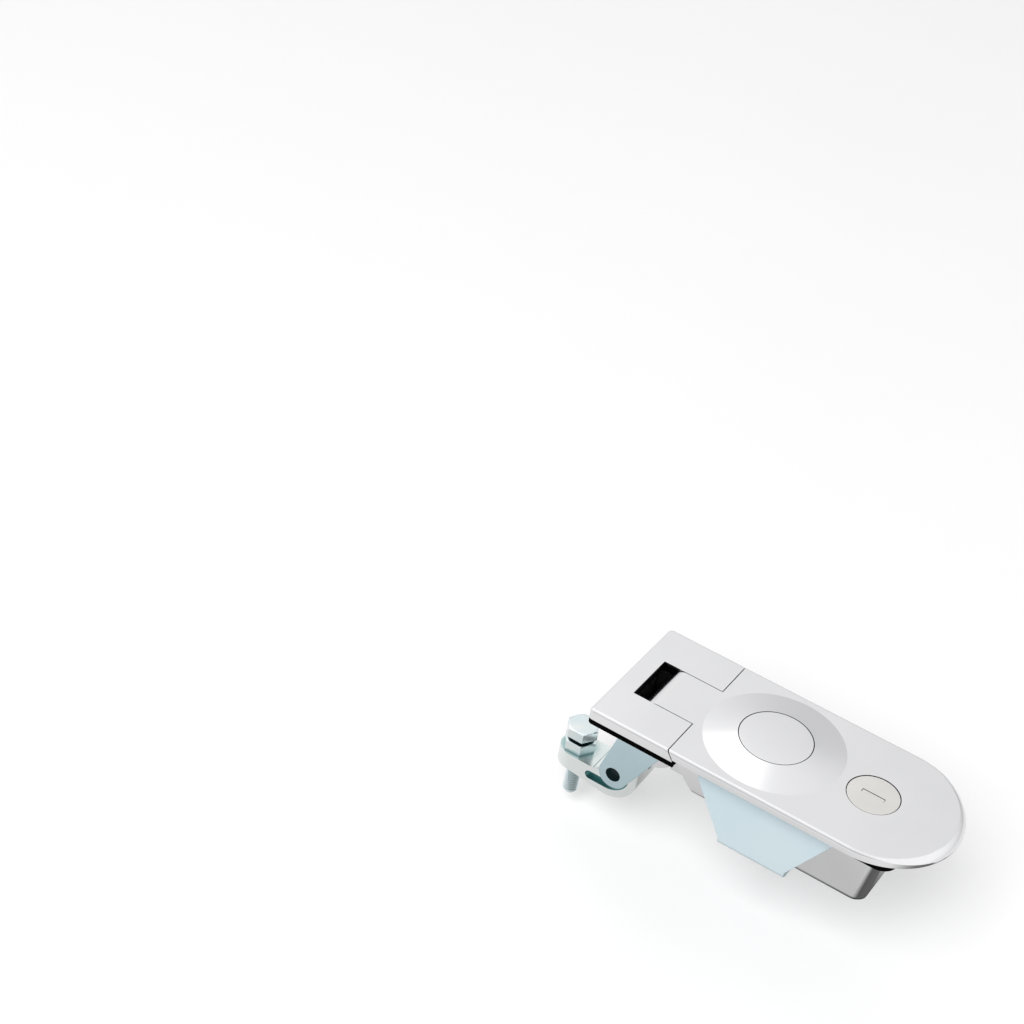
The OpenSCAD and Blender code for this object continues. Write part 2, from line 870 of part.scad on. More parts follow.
module yoke() {
    pin_angle = 180 + atan2(pin_drop, pin_back);
    color(zinc)
    difference() {
        union() {
            for (side = [0, 1])
                mirror([0, side, 0]) {
                    across(arm_inner, arm_outer)
                        link([pivot_x, pivot_z], arm_boss_radius, [pin_x, pin_z], arm_ring_radius);
                    cross_bar(pin_x, pin_z, hub_radius, neck_inner, arm_inner + past);
                }
            // Web that joins the arms behind the barrel
            across(-arm_inner - past, arm_inner + past)
                translate([pivot_x, pivot_z]) {
                    ring_sector(web_inner, web_outer, pin_angle - 5.5, pin_angle + 14);
                    ring_sector(web_inner, web_outer + 1.6, pin_angle + 13, pin_angle + 16);
                }
            for (side = [0, 1])
                mirror([0, side, 0])
                    across(neck_inner + past, arm_inner + past)
                        translate([pivot_x, pivot_z])
                            ring_sector(web_inner, web_outer + 2, pin_angle - 4, pin_angle + 6);
        }
        cross_bar(pivot_x, pivot_z, shaft_radius + running / 2, -arm_outer + shaft_cover, half_w);
        cross_bar(pin_x, pin_z, pin_radius + running / 2, -half_w, half_w);
    }
}

module pawl_pin() {
    color(steel)
        cross_bar(pin_x, pin_z, pin_radius, -arm_outer + pin_recess, arm_outer - pin_recess);
}

// Pawl seen from the side
module pawl_side() {
    cut_radius = 7.8;
    cut = [pin_x - hub_radius + 0.6 - cut_radius, pin_z - 3.6];
    difference() {
        union() {
            translate([pin_x, pin_z])
                circle(r = hub_radius);
            polygon([
                [pin_x - hub_radius, pin_z],
                [pin_x + hub_radius, pin_z],
                [pin_x + hub_radius, knee_z],
                [knee_x, knee_z],
                [knee_x, knee_z - knee_radius],
                [bolt_x, boss_rear_z],
                [bolt_x, boss_front_z],
                [cut[0], boss_front_z],
                [cut[0] + 4, boss_front_z + 4]
            ]);
            intersection() {
                translate([knee_x, knee_z])
                    circle(r = knee_radius);
                rect(knee_x - past, knee_z - knee_radius, knee_x + knee_radius, knee_z + past);
            }
        }
        translate(cut)
            circle(r = cut_radius);
    }
}

// Crescent pocket in the pawl's side
module pawl_pocket() {
    outer = knee_radius - 2.6;
    inner = outer - 3.1;
    mid = (outer + inner) / 2;
    half = (outer - inner) / 2;
    reach = 6;
    translate([knee_x, knee_z]) {
        ring_sector(inner, outer, 270, 345);
        translate(mid * [cos(345), sin(345)])
            circle(r = half);
        rect(-reach, -outer, 0.1, -inner);
        translate([-reach, -mid])
            circle(r = half);
    }
}

module pawl() {
    slot_y = pawl_spring_y - spring_room;
    slot_width = pawl_spring_length + 2 * spring_room;
    coil_room = pawl_spring_radius + pawl_spring_wire + 0.15;
    slot_x = pin_x + pawl_spring_radius - pawl_spring_wire - 0.1;
    color(zinc)
    difference() {
        union() {
            across(-pawl_half_width, pawl_half_width)
                pawl_side();
            post(bolt_x, 0, pawl_half_width, boss_rear_z, boss_front_z);
        }
        for (side = [0, 1])
            mirror([0, side, 0])
                across(pawl_half_width - pocket_depth, pawl_half_width + past)
                    pawl_pocket();
        // Room for the spring's coil, and the slot for its leg
        cross_bar(pin_x, pin_z, coil_room, slot_y, slot_y + slot_width);
        across(slot_y, slot_y + slot_width)
            rect(slot_x, pin_z - pawl_spring_leg - past, pin_x + hub_radius + past, pin_z);
        cross_bar(pin_x, pin_z, pin_radius + running, -half_w, half_w);
        post(bolt_x, 0, bolt_radius + 0.02, boss_rear_z - 5, boss_front_z + past);
    }
}

module pawl_spring() {
    leg_y = pawl_spring_y + pawl_spring_wire;
    color(steel) {
        translate([pin_x, pawl_spring_y, pin_z])
            rotate([-90, 0, 0])
                coil(pawl_spring_radius, pawl_spring_wire, 3, pawl_spring_length);
        post(pin_x + pawl_spring_radius, leg_y, pawl_spring_wire, pin_z - pawl_spring_leg, pin_z);
    }
}

module adjusting_bolt() {
    tip = 0.6;
    color(zinc) {
        translate([bolt_x, 0, head_rear_z])
            hex_head(bolt_flats, bolt_head);
        translate([bolt_x, 0, head_rear_z - bolt_length])
            rotate_extrude()
                polygon([
                    [0, 0],
                    [bolt_radius - tip, 0],
                    [bolt_radius, tip],
                    [bolt_radius, bolt_length + past],
                    [0, bolt_length + past]
                ]);
    }
}

module jam_nut() {
    color(zinc)
        translate([bolt_x, 0, boss_front_z])
            difference() {
                hex_head(bolt_flats, nut_height);
                translate([0, 0, -past])
                    cylinder(r = bolt_radius + 0.02, h = nut_height + 2 * past);
            }
}

module push_button() {
    groove_radius = stem_radius - 0.6;
    cone_tip = stem_radius - cone_height;
    color(chrome) {
        rotate_extrude()
            intersection() {
                translate([0, face_height + dome_height - crown_radius])
                    circle(r = crown_radius, $fn = 720);
                rect(0, cap_z, button_radius, face_height + dome_height + 1);
            }
        rotate_extrude()
            polygon([
                [0, cap_z + past],
                [stem_radius, cap_z + past],
                [stem_radius, clip_z + clip_thick + 0.02],
                [groove_radius, clip_z + clip_thick + 0.02],
                [groove_radius, clip_z - 0.02],
                [stem_radius, clip_z - 0.02],
                [stem_radius, cone_top_z],
                [cone_tip, cone_top_z - cone_height],
                [0, cone_top_z - cone_height]
            ]);
    }
}

module button_clip() {
    clip_outer = stem_radius + 1.6;
    clip_inner = stem_radius - 0.58;
    mouth = 1.7;
    color(steel)
        upright(clip_z, clip_z + clip_thick)
            difference() {
                circle(r = clip_outer);
                circle(r = clip_inner);
                rect(0, -mouth, clip_outer + 1, mouth);
            }
}

module button_spring() {
    seat = sleeve_floor_z + sleeve_floor_thick;
    color(steel)
        translate([0, 0, seat + 0.05])
            coil(button_spring_radius, button_spring_wire, 3, cap_z - seat - 0.1);
}

module catch_slide() {
    ramp = 0.2;
    ramp_top = -stem_radius + (cone_top_z - catch_top_z) - ramp;
    slot_half = stem_radius + 0.4;
    slot_end = stem_radius + button_travel + 1.2;
    color(zinc)
    difference() {
        upright(catch_z, catch_top_z) {
            rect(catch_back_x, -catch_half_width, nose_x - 5, catch_half_width);
            rect(nose_x - 6, -catch_half_width + 1.5, nose_x, catch_half_width - 1.5);
        }
        // Slot with the ramp that the button's cone pushes on
        across(-slot_half, slot_half)
            polygon([
                [ramp_top - past, catch_top_z + past],
                [slot_end, catch_top_z + past],
                [slot_end, catch_z - past],
                [ramp_top + catch_thick + past, catch_z - past]
            ]);
        // Seat for the catch's spring
        translate([catch_back_x, 0, (catch_z + catch_top_z) / 2])
            rotate([0, 90, 0])
                translate([0, 0, -past])
                    cylinder(r = 0.7, h = past + 1);
    }
}

module catch_spring() {
    color(steel)
        translate([spring_post_x + 0.05, 0, (catch_z + catch_top_z) / 2])
            rotate([0, 90, 0])
                coil(catch_spring_radius, catch_spring_wire, 5, catch_back_x - spring_post_x - 0.1);
}

module catch_guide() {
    guide_half_length = 6;
    guide_half_width = guide_post_y + guide_post_radius;
    color(zinc)
    difference() {
        upright(guide_z, guide_top_z)
            rect(-guide_half_length, -guide_half_width, guide_half_length, guide_half_width);
        post(0, 0, stem_radius + 0.6, guide_z - past, guide_top_z + past);
        for (side = [-1, 1])
            post(0, side * guide_post_y, guide_screw_radius + 0.2, guide_z - past, guide_top_z + past);
    }
}

module guide_screws() {
    head = 1.5;
    color(steel)
        for (side = [-1, 1])
            translate([0, side * guide_post_y, guide_z])
                difference() {
                    union() {
                        translate([0, 0, -head])
                            cylinder(r = 2.4, h = head);
                        translate([0, 0, -head + past])
                            cylinder(r = guide_screw_radius, h = head - past + guide_thick + guide_screw_thread);
                    }
                    translate([0, 0, -head])
                        mirror([0, 0, 1])
                            cross_recess(2.4, 0.6, 0.8);
                }
}

module lock_barrel() {
    color(steel)
    difference() {
        post(lock_offset, 0, lock_radius, lock_barrel_z, lock_seat_z);
        difference() {
            post(lock_offset, 0, lock_radius + 1, lock_clip_z - 0.02, lock_clip_z + lock_clip_thick + 0.02);
            post(lock_offset, 0, lock_groove_radius, lock_clip_z - 1, lock_clip_z + lock_clip_thick + 1);
        }
        post(lock_offset, 0, plug_radius + running, lock_barrel_z - past, lock_seat_z + past);
    }
}

module lock_clip() {
    clip_outer = lock_sleeve_outer;
    mouth = lock_groove_radius - 1;
    color(steel)
        upright(lock_clip_z, lock_clip_z + lock_clip_thick)
            translate([lock_offset, 0])
                difference() {
                    circle(r = clip_outer);
                    circle(r = lock_groove_radius + 0.02);
                    rect(0, -mouth, clip_outer + 1, mouth);
                }
}

module lock_plug() {
    tail = cam_square / 2 - 0.05;
    color(nickel)
    difference() {
        union() {
            post(lock_offset, 0, plug_face_radius, plug_face_z - plug_face_thick, plug_face_z);
            post(lock_offset, 0, plug_radius, cam_top_z + 0.05, plug_face_z - past);
            translate([lock_offset - tail, -tail, cam_z])
                cube([2 * tail, 2 * tail, cam_thick + past]);
        }
        translate([lock_offset - key_length / 2, -key_width / 2, lock_barrel_z + 2])
            cube([key_length, key_width, plug_face_z - lock_barrel_z]);
        post(lock_offset, 0, cam_screw_radius + 0.02, cam_z - past, cam_z + cam_screw_thread + 0.2);
    }
}

module lock_cam() {
    hole = cam_square / 2;
    color(zinc)
        upright(cam_z, cam_top_z)
            translate([lock_offset, 0])
                difference() {
                    union() {
                        circle(r = cam_half_width);
                        rect(-cam_half_width, 0, cam_half_width, cam_length - 2);
                        rect(-cam_half_width + 2, 0, cam_half_width - 2, cam_length);
                        for (side = [-1, 1])
                            translate([side * (cam_half_width - 2), cam_length - 2])
                                circle(r = 2);
                    }
                    rect(-hole, -hole, hole, hole);
                }
}

module cam_screw() {
    color(steel)
        translate([lock_offset, 0, cam_z])
            difference() {
                union() {
                    translate([0, 0, -cam_screw_head])
                        cylinder(r = 4, h = cam_screw_head);
                    translate([0, 0, -cam_screw_head + past])
                        cylinder(r = cam_screw_radius, h = cam_screw_head - past + cam_screw_thread);
                }
                translate([0, 0, -cam_screw_head])
                    mirror([0, 0, 1])
                        cross_recess(3.6, 0.8, 1);
            }
}

housing();
gasket();
bracket();
bracket_screw();
handle();
pivot_shaft();
yoke();
pawl_pin();
pawl();
pawl_spring();
adjusting_bolt();
jam_nut();
push_button();
button_clip();
button_spring();
catch_slide();
catch_spring();
catch_guide();
guide_screws();
lock_barrel();
lock_clip();
lock_plug();
lock_cam();
cam_screw();
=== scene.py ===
"""Dressed model of a flush compression latch.

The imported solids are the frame. Each visible solid gets a copy with softened
edges and a finish of its own, the bolt gets its thread and the lock its
shutter, and a plain white stage with soft light is set round them.
"""

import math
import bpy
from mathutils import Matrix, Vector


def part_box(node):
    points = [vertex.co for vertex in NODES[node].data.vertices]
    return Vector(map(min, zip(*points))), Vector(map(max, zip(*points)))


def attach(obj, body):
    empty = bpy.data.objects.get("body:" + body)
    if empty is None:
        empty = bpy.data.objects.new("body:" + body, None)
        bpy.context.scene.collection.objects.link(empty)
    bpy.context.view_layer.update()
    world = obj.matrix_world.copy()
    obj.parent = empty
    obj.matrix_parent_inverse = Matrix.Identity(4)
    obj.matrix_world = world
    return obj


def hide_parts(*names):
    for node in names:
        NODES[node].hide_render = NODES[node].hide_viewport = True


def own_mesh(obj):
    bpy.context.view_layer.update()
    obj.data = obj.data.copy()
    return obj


bl_info = {
    "name": "Compression latch",
    "version": (1, 0, 0),
    "blender": (4, 5, 0),
    "location": "View3D > Sidebar > Latch",
    "description": "Builds the finished pieces of a flush compression latch and its stage",
    "category": "Add Mesh",
}

import bmesh
import bpy
from mathutils import Matrix, Vector

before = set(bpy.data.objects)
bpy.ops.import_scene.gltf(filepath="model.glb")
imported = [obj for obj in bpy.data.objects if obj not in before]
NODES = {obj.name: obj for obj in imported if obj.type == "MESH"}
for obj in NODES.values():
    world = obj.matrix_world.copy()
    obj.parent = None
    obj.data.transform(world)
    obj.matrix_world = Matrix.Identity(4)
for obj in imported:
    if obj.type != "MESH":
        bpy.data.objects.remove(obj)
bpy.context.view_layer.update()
MM = 0.001

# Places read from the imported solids
PLUG_LOW, PLUG_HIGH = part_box("lock_plug")
LOCK_CENTRE = (PLUG_LOW + PLUG_HIGH) / 2
BOLT_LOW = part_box("adjusting_bolt")[0]
NUT_LOW, NUT_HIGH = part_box("jam_nut")
BOLT_AXIS = Vector(((NUT_LOW.x + NUT_HIGH.x) / 2, 0, 0))
SCREW_LOW, SCREW_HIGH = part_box("bracket_screw")
SCREW_CENTRE = (SCREW_LOW + SCREW_HIGH) / 2

# Limits used in cleaning and shading the meshes
MERGE_GAP = 0.002 * MM
ROUND_GAP = 0.05 * MM
FLAT_ANGLE = math.radians(0.3)
SHARP_ANGLE = math.radians(32)
SMOOTH_ANGLE = math.radians(38)

# Thread of the bolt, its foot and crest as shares of the pitch either side of the middle
THREAD_STEPS = 28
THREAD_START = 0.9 * MM
THREAD_PAST_NUT = 1.3 * MM
THREAD_SINK = 0.08 * MM
THREAD_FOOT = 0.44
THREAD_CREST = 0.07
SHANK_PAST_NUT = 3 * MM

# Shutter of the key slot
SHUTTER_SIZE = (7.3 * MM, 1.24 * MM, 0.5 * MM)
SHUTTER_EDGE = 0.1 * MM

# Colour sockets of a mix node
MIX_FIRST = 6
MIX_SECOND = 7
MIX_RESULT = 2

# Surface effects: painted shade in joints between pieces, turning marks, satin front and painted
# shade in the well of the hinge
# Painted shade in joints and pockets: its colour, reach, and the closed and open ends of its
# ramp
JOINT_SHADE = (0.008, 0.008, 0.009, 1.0)
JOINT_REACH = 1.2 * MM
JOINT_CLOSED = 0.4
JOINT_OPEN = 0.78
RING_DEPTH = 0.01 * MM
SATIN_FROM = 2.8 * MM
SATIN_TO = 4.8 * MM
# Painted shade in the well of the hinge: its centre, half size and colour
WELL_CENTRE = (-40.6 * MM, 0.0, -7.6 * MM)
WELL_HALF_SIZE = (4.66 * MM, 9.94 * MM, 12.4 * MM)
WELL_SHADE = (0.006, 0.006, 0.007, 1.0)

# Floor, and the patches of painted shadow that metal mirrors in it: centre, reach along X and Y,
# clear share, dark and light ends
FLOOR_REACH = 6.0
PAPER_DARK = (0.95, 0.95, 0.95, 1.0)
PAPER_LIGHT = (0.97, 0.97, 0.97, 1.0)
EYE_SHARE = 0.2
FLOOR_SHADOW_PATCHES = (
    ((0.0, -45 * MM), (110 * MM, 70 * MM), 0.3, 0.6, 0.9),
    ((85 * MM, 5 * MM), (75 * MM, 75 * MM), 0.65, 0.15, 1.0),
    ((5 * MM, 5 * MM), (70 * MM, 50 * MM), 0.5, 0.3, 1.0),
)

# Surroundings, lamps and camera
ROOM_LIGHT = 0.62
ROOM_SLOPE = (0.5, 0.0, 0.63)
ROOM_DIM = (0.29, 0.29, 0.3, 1.0)
ROOM_BRIGHT = (1.1, 1.1, 1.1, 1.0)
KEY_PLACE = (0.1, -1.6, 1.76)
KEY_SIZE = 1.1
TOP_PLACE = (-0.50, 0.46, 0.99)
TOP_SIZE = 0.56
CAMERA_PLACE = (0.15815992, -0.51879162, 0.47149718)
CAMERA_RIGHT = (0.83237891, 0.53495164, 0.14481745)
CAMERA_UP = (-0.42388972, 0.44619923, 0.78817749)
CAMERA_BACK = (0.3570194, -0.71744895, 0.59816733)


class LatchSizes(bpy.types.PropertyGroup):
    """Sizes of the details that the finished pieces add to the solids."""

    plate_edge: bpy.props.FloatProperty(
        name="Plate edge",
        description="Rounding of the chrome pieces' crisp edges",
        default=0.16 * MM,
        min=0.0,
        unit="LENGTH",
    )
    dome_radius: bpy.props.FloatProperty(
        name="Dome radius",
        description="Radius of the crisp foot of the handle's dome",
        default=22 * MM,
        min=0.0,
        unit="LENGTH",
    )
    casting_edge: bpy.props.FloatProperty(
        name="Casting edge",
        description="Rounding of the pawl's and the yoke's edges",
        default=0.4 * MM,
        min=0.0,
        unit="LENGTH",
    )
    sheet_edge: bpy.props.FloatProperty(
        name="Sheet edge",
        description="Rounding of the bracket's sheared edges",
        default=0.22 * MM,
        min=0.0,
        unit="LENGTH",
    )
    fastener_edge: bpy.props.FloatProperty(
        name="Fastener edge",
        description="Rounding of the edges of the nut and the screws",
        default=0.14 * MM,
        min=0.0,
        unit="LENGTH",
    )
    rubber_edge: bpy.props.FloatProperty(
        name="Rubber edge",
        description="Rounding of the gasket's edges",
        default=0.15 * MM,
        min=0.0,
        unit="LENGTH",
    )
    thread_pitch: bpy.props.FloatProperty(
        name="Thread pitch",
        description="Pitch of the adjusting bolt's thread",
        default=0.8 * MM,
        min=0.1 * MM,
        unit="LENGTH",
    )
    thread_depth: bpy.props.FloatProperty(
        name="Thread depth",
        description="Depth of the adjusting bolt's thread",
        default=0.42 * MM,
        min=0.05 * MM,
        unit="LENGTH",
    )
    shutter_depth: bpy.props.FloatProperty(
        name="Shutter depth",
        description="Depth of the dust shutter behind the lock's face",
        default=0.2 * MM,
        min=0.1 * MM,
        unit="LENGTH",
    )


class LatchFinishes(bpy.types.PropertyGroup):
    """Colours of the latch's finishes."""

    chrome: bpy.props.FloatVectorProperty(
        name="Chrome",
        description="Colour of the chrome plate",
        subtype="COLOR",
        size=4,
        default=(0.83, 0.83, 0.84, 1.0),
    )
    zinc: bpy.props.FloatVectorProperty(
        name="Zinc",
        description="Colour of the zinc plate on the fasteners",
        subtype="COLOR",
        size=4,
        default=(0.76, 0.83, 0.85, 1.0),
    )
    pawl_zinc: bpy.props.FloatVectorProperty(
        name="Pawl zinc",
        description="Colour of the pale zinc plate on the pawl",
        subtype="COLOR",
        size=4,
        default=(0.86, 0.90, 0.89, 1.0),
    )
    yoke_zinc: bpy.props.FloatVectorProperty(
        name="Yoke zinc",
        description="Colour of the bluish zinc plate on the yoke",
        subtype="COLOR",
        size=4,
        default=(0.56, 0.71, 0.76, 1.0),
    )
    sheet: bpy.props.FloatVectorProperty(
        name="Zinc sheet",
        description="Colour of the bracket's zinc plate",
        subtype="COLOR",
        size=4,
        default=(0.50, 0.60, 0.64, 1.0),
    )
    rubber: bpy.props.FloatVectorProperty(
        name="Rubber",
        description="Colour of the gasket",
        subtype="COLOR",
        size=4,
        default=(0.002, 0.002, 0.002, 1.0),
    )
    nickel: bpy.props.FloatVectorProperty(
        name="Nickel",
        description="Colour of the lock's face",
        subtype="COLOR",
        size=4,
        default=(0.80, 0.79, 0.76, 1.0),
    )
    steel: bpy.props.FloatVectorProperty(
        name="Steel",
        description="Colour of the plain steel pins, springs and clips",
        subtype="COLOR",
        size=4,
        default=(0.52, 0.54, 0.55, 1.0),
    )
    # Painted shade: near black for the pawl's pin in the shade of its recess.
    shaded_pin_steel: bpy.props.FloatVectorProperty(
        name="Dark steel",
        description="Colour of the pawl's oiled pin",
        subtype="COLOR",
        size=4,
        default=(0.03, 0.036, 0.04, 1.0),
    )


class LatchStage(bpy.types.PropertyGroup):
    """Floor, light and camera."""

    floor_height: bpy.props.FloatProperty(
        name="Floor height",
        description="Height of the floor, below the bolt in every pose",
        default=-61.7 * MM,
        unit="LENGTH",
    )
    key_power: bpy.props.FloatProperty(
        name="Key power",
        description="Power of the soft key lamp",
        default=39.5,
        min=0.0,
        unit="POWER",
    )
    top_power: bpy.props.FloatProperty(
        name="Top power",
        description="Power of the soft box above and behind the latch",
        default=0.4,
        min=0.0,
        unit="POWER",
    )
    lens: bpy.props.FloatProperty(
        name="Lens",
        description="Focal length of the camera",
        default=83.43,
        min=1.0,
        unit="CAMERA",
    )


# Node helpers


def add_node(tree, kind, **settings):
    """New node of a tree with its settings."""
    node = tree.nodes.new(kind)
    for key, value in settings.items():
        setattr(node, key, value)
    return node


def join(tree, source, target):
    """Link from one socket to another."""
    tree.links.new(source, target)


def feed(tree, value, socket):
    """Give a socket a link from another one, or a plain value."""
    if isinstance(value, bpy.types.NodeSocket):
        join(tree, value, socket)
    else:
        socket.default_value = value


def start_group(name, inputs, outputs):
    """New shader group with its sockets, and its two end nodes."""
    tree = bpy.data.node_groups.new(name, "ShaderNodeTree")
    for label, kind, value in inputs:
        socket = tree.interface.new_socket(label, in_out="INPUT", socket_type=kind)
        if value is not None:
            socket.default_value = value
    for label, kind in outputs:
        tree.interface.new_socket(label, in_out="OUTPUT", socket_type=kind)
    entry = add_node(tree, "NodeGroupInput")
    result = add_node(tree, "NodeGroupOutput")
    return tree, entry, result


def calculate(tree, operation, *values):
    """Math node on sockets or numbers."""
    node = add_node(tree, "ShaderNodeMath", operation=operation)
    for value, socket in zip(values, node.inputs):
        feed(tree, value, socket)
    return node.outputs[0]


def vector_step(tree, operation, *values):
    """Outputs of a vector math node on sockets or triples of numbers."""
    node = add_node(tree, "ShaderNodeVectorMath", operation=operation)
    for value, socket in zip(values, node.inputs):
        feed(tree, value, socket)
    return node.outputs


def split_axes(tree, vector):
    """X, Y and Z of a vector."""
    node = add_node(tree, "ShaderNodeSeparateXYZ")
    join(tree, vector, node.inputs[0])
    return node.outputs


def add_noise(tree, position, scale, detail):
    """Noise over a position, at the scale that a socket gives."""
    node = add_node(tree, "ShaderNodeTexNoise")
    node.inputs["Detail"].default_value = detail
    join(tree, position, node.inputs["Vector"])
    join(tree, scale, node.inputs["Scale"])
    return node.outputs["Fac"]


def ramp_value(tree, value, low, high, to_low=0.0, to_high=1.0):
    """Value mapped from one range to another, clamped."""
    node = add_node(tree, "ShaderNodeMapRange", clamp=True)
    join(tree, value, node.inputs["Value"])
    node.inputs["From Min"].default_value = low
    node.inputs["From Max"].default_value = high
    node.inputs["To Min"].default_value = to_low
    node.inputs["To Max"].default_value = to_high
    return node.outputs["Result"]


def blend_colour(tree, factor, first, second):
    """Mix of two colours, each a socket or four numbers."""
    node = add_node(tree, "ShaderNodeMix", data_type="RGBA")
    join(tree, factor, node.inputs["Factor"])
    feed(tree, first, node.inputs[MIX_FIRST])
    feed(tree, second, node.inputs[MIX_SECOND])
    return node.outputs[MIX_RESULT]


def mix_shaders(tree, share, first, second):
    """Mix of two shaders by a share."""
    node = add_node(tree, "ShaderNodeMixShader")
    for source, socket in zip((share, first, second), node.inputs):
        join(tree, source, socket)
    return node.outputs[0]


def mirror_rays(tree, path):
    """1 for the rays that come by way of a mirror or through glass."""
    glossy = path.outputs["Is Glossy Ray"]
    return calculate(tree, "MAXIMUM", glossy, path.outputs["Is Transmission Ray"])


def shaded(colour, factor):
    """Colour made lighter or darker by a factor."""
    return (colour[0] * factor, colour[1] * factor, colour[2] * factor, 1.0)


# Shared surface effects


def make_mottle_group():
    """Soft cloudy variation with a fine speckle, as plating has."""
    tree, entry, result = start_group(
        "plating_mottle",
        [("Position", "NodeSocketVector", None), ("Scale", "NodeSocketFloat", 60.0)],
        [("Mask", "NodeSocketFloat")],
    )
    cloud_share = 0.75
    speck_fineness = 22.0
    position = entry.outputs["Position"]
    scale = entry.outputs["Scale"]
    cloud = add_noise(tree, position, scale, detail=3.0)
    fine_scale = calculate(tree, "MULTIPLY", scale, speck_fineness)
    speck = add_noise(tree, position, fine_scale, detail=2.0)
    broad = calculate(tree, "MULTIPLY", cloud, cloud_share)
    small = calculate(tree, "MULTIPLY", speck, 1.0 - cloud_share)
    total = calculate(tree, "ADD", broad, small)
    join(tree, ramp_value(tree, total, 0.3, 0.7), result.inputs["Mask"])
    return tree


def make_skin_group():
    """Height of a casting's skin: slow waves and a fine grain."""
    tree, entry, result = start_group(
        "casting_skin",
        [
            ("Position", "NodeSocketVector", None),
            ("Wave scale", "NodeSocketFloat", 120.0),
            ("Grain scale", "NodeSocketFloat", 2500.0),
            ("Grain share", "NodeSocketFloat", 0.3),
        ],
        [("Height", "NodeSocketFloat")],
    )
    position = entry.outputs["Position"]
    wave = add_noise(tree, position, entry.outputs["Wave scale"], detail=1.0)
    grain = add_noise(tree, position, entry.outputs["Grain scale"], detail=2.0)
    fine = calculate(tree, "MULTIPLY", grain, entry.outputs["Grain share"])
    join(tree, calculate(tree, "ADD", wave, fine), result.inputs["Height"])
    return tree


def make_rings_group():
    """Height of turning marks round the Z axis of the given position."""
    tree, entry, result = start_group(
        "turning_rings",
        [("Position", "NodeSocketVector", None), ("Spacing", "NodeSocketFloat", 0.2 * MM)],
        [("Height", "NodeSocketFloat")],
    )
    sides = split_axes(tree, entry.outputs["Position"])
    across = calculate(tree, "MULTIPLY", sides["X"], sides["X"])
    along = calculate(tree, "MULTIPLY", sides["Y"], sides["Y"])
    radius = calculate(tree, "SQRT", calculate(tree, "ADD", across, along))
    turns = calculate(tree, "DIVIDE", radius, entry.outputs["Spacing"])
    wave = calculate(tree, "SINE", calculate(tree, "MULTIPLY", turns, 2 * math.pi))
    join(tree, wave, result.inputs["Height"])
    return tree


def make_tint_group():
    """Faint change of hue that a passivated zinc surface shows."""
    tree, entry, result = start_group(
        "zinc_tint",
        [
            ("Position", "NodeSocketVector", None),
            ("Scale", "NodeSocketFloat", 40.0),
            ("Base", "NodeSocketColor", (0.7, 0.79, 0.79, 1.0)),
            ("Cool", "NodeSocketColor", (0.6, 0.75, 0.85, 1.0)),
            ("Warm", "NodeSocketColor", (0.8, 0.83, 0.74, 1.0)),
        ],
        [("Colour", "NodeSocketColor")],
    )
    warm_shift = (0.31, 0.17, 0.53)
    position = entry.outputs["Position"]
    shifted = vector_step(tree, "ADD", position, warm_shift)["Vector"]
    cool = add_noise(tree, position, entry.outputs["Scale"], detail=2.0)
    warm = add_noise(tree, shifted, entry.outputs["Scale"], detail=2.0)
    cool_share = ramp_value(tree, cool, 0.42, 0.7, to_high=0.6)
    warm_share = ramp_value(tree, warm, 0.5, 0.75, to_high=0.45)
    cooled = blend_colour(tree, cool_share, entry.outputs["Base"], entry.outputs["Cool"])
    warmed = blend_colour(tree, warm_share, cooled, entry.outputs["Warm"])
    join(tree, warmed, result.inputs["Colour"])
    return tree


def make_box_group():
    """Mask that is 1 inside a box about the origin of the given position."""
    tree, entry, result = start_group(
        "inside_box",
        [
            ("Position", "NodeSocketVector", None),
            ("Half size", "NodeSocketVector", None),
            ("Softness", "NodeSocketFloat", 0.2 * MM),
        ],
        [("Mask", "NodeSocketFloat")],
    )
    away = vector_step(tree, "ABSOLUTE", entry.outputs["Position"])["Vector"]
    room = vector_step(tree, "SUBTRACT", entry.outputs["Half size"], away)["Vector"]
    sides = split_axes(tree, room)
    least = calculate(tree, "MINIMUM", sides["X"], sides["Y"])
    least = calculate(tree, "MINIMUM", least, sides["Z"])
    soft = calculate(tree, "DIVIDE", least, entry.outputs["Softness"])
    join(tree, ramp_value(tree, soft, 0.0, 1.0), result.inputs["Mask"])
    return tree


GROUP_MAKERS = {
    "plating_mottle": make_mottle_group,
    "casting_skin": make_skin_group,
    "turning_rings": make_rings_group,
    "zinc_tint": make_tint_group,
    "inside_box": make_box_group,
}


def place_group(tree, name, position, **values):
    """Shared effect placed in a material with its own values."""
    group = bpy.data.node_groups.get(name) or GROUP_MAKERS[name]()
    node = add_node(tree, "ShaderNodeGroup", node_tree=group)
    join(tree, position, node.inputs["Position"])
    for label, value in values.items():
        node.inputs[label.replace("_", " ").capitalize()].default_value = value
    return node.outputs[0]


def start_material(name, metallic):
    """New material, its shader and its position in object coordinates."""
    material = bpy.data.materials.new(name)
    material.use_nodes = True
    tree = material.node_tree
    shader = tree.nodes["Principled BSDF"]
    shader.inputs["Metallic"].default_value = metallic
    position = add_node(tree, "ShaderNodeTexCoord").outputs["Object"]
    return material, tree, shader, position


def moved(tree, position, centre, scale=(1.0, 1.0, 1.0)):
    """Position measured from another point, at a scale along each axis."""
    node = add_node(tree, "ShaderNodeMapping", vector_type="POINT")
    node.inputs["Scale"].default_value = scale
    shift = vector_step(tree, "SUBTRACT", position, centre)["Vector"]
    join(tree, shift, node.inputs["Vector"])
    return node.outputs[0]


def mottled(tree, position, scale, dark, light):
    """Cloudy mask and a colour that goes with it from dark to light."""
    mask = place_group(tree, "plating_mottle", position, scale=scale)
    return mask, blend_colour(tree, mask, dark, light)


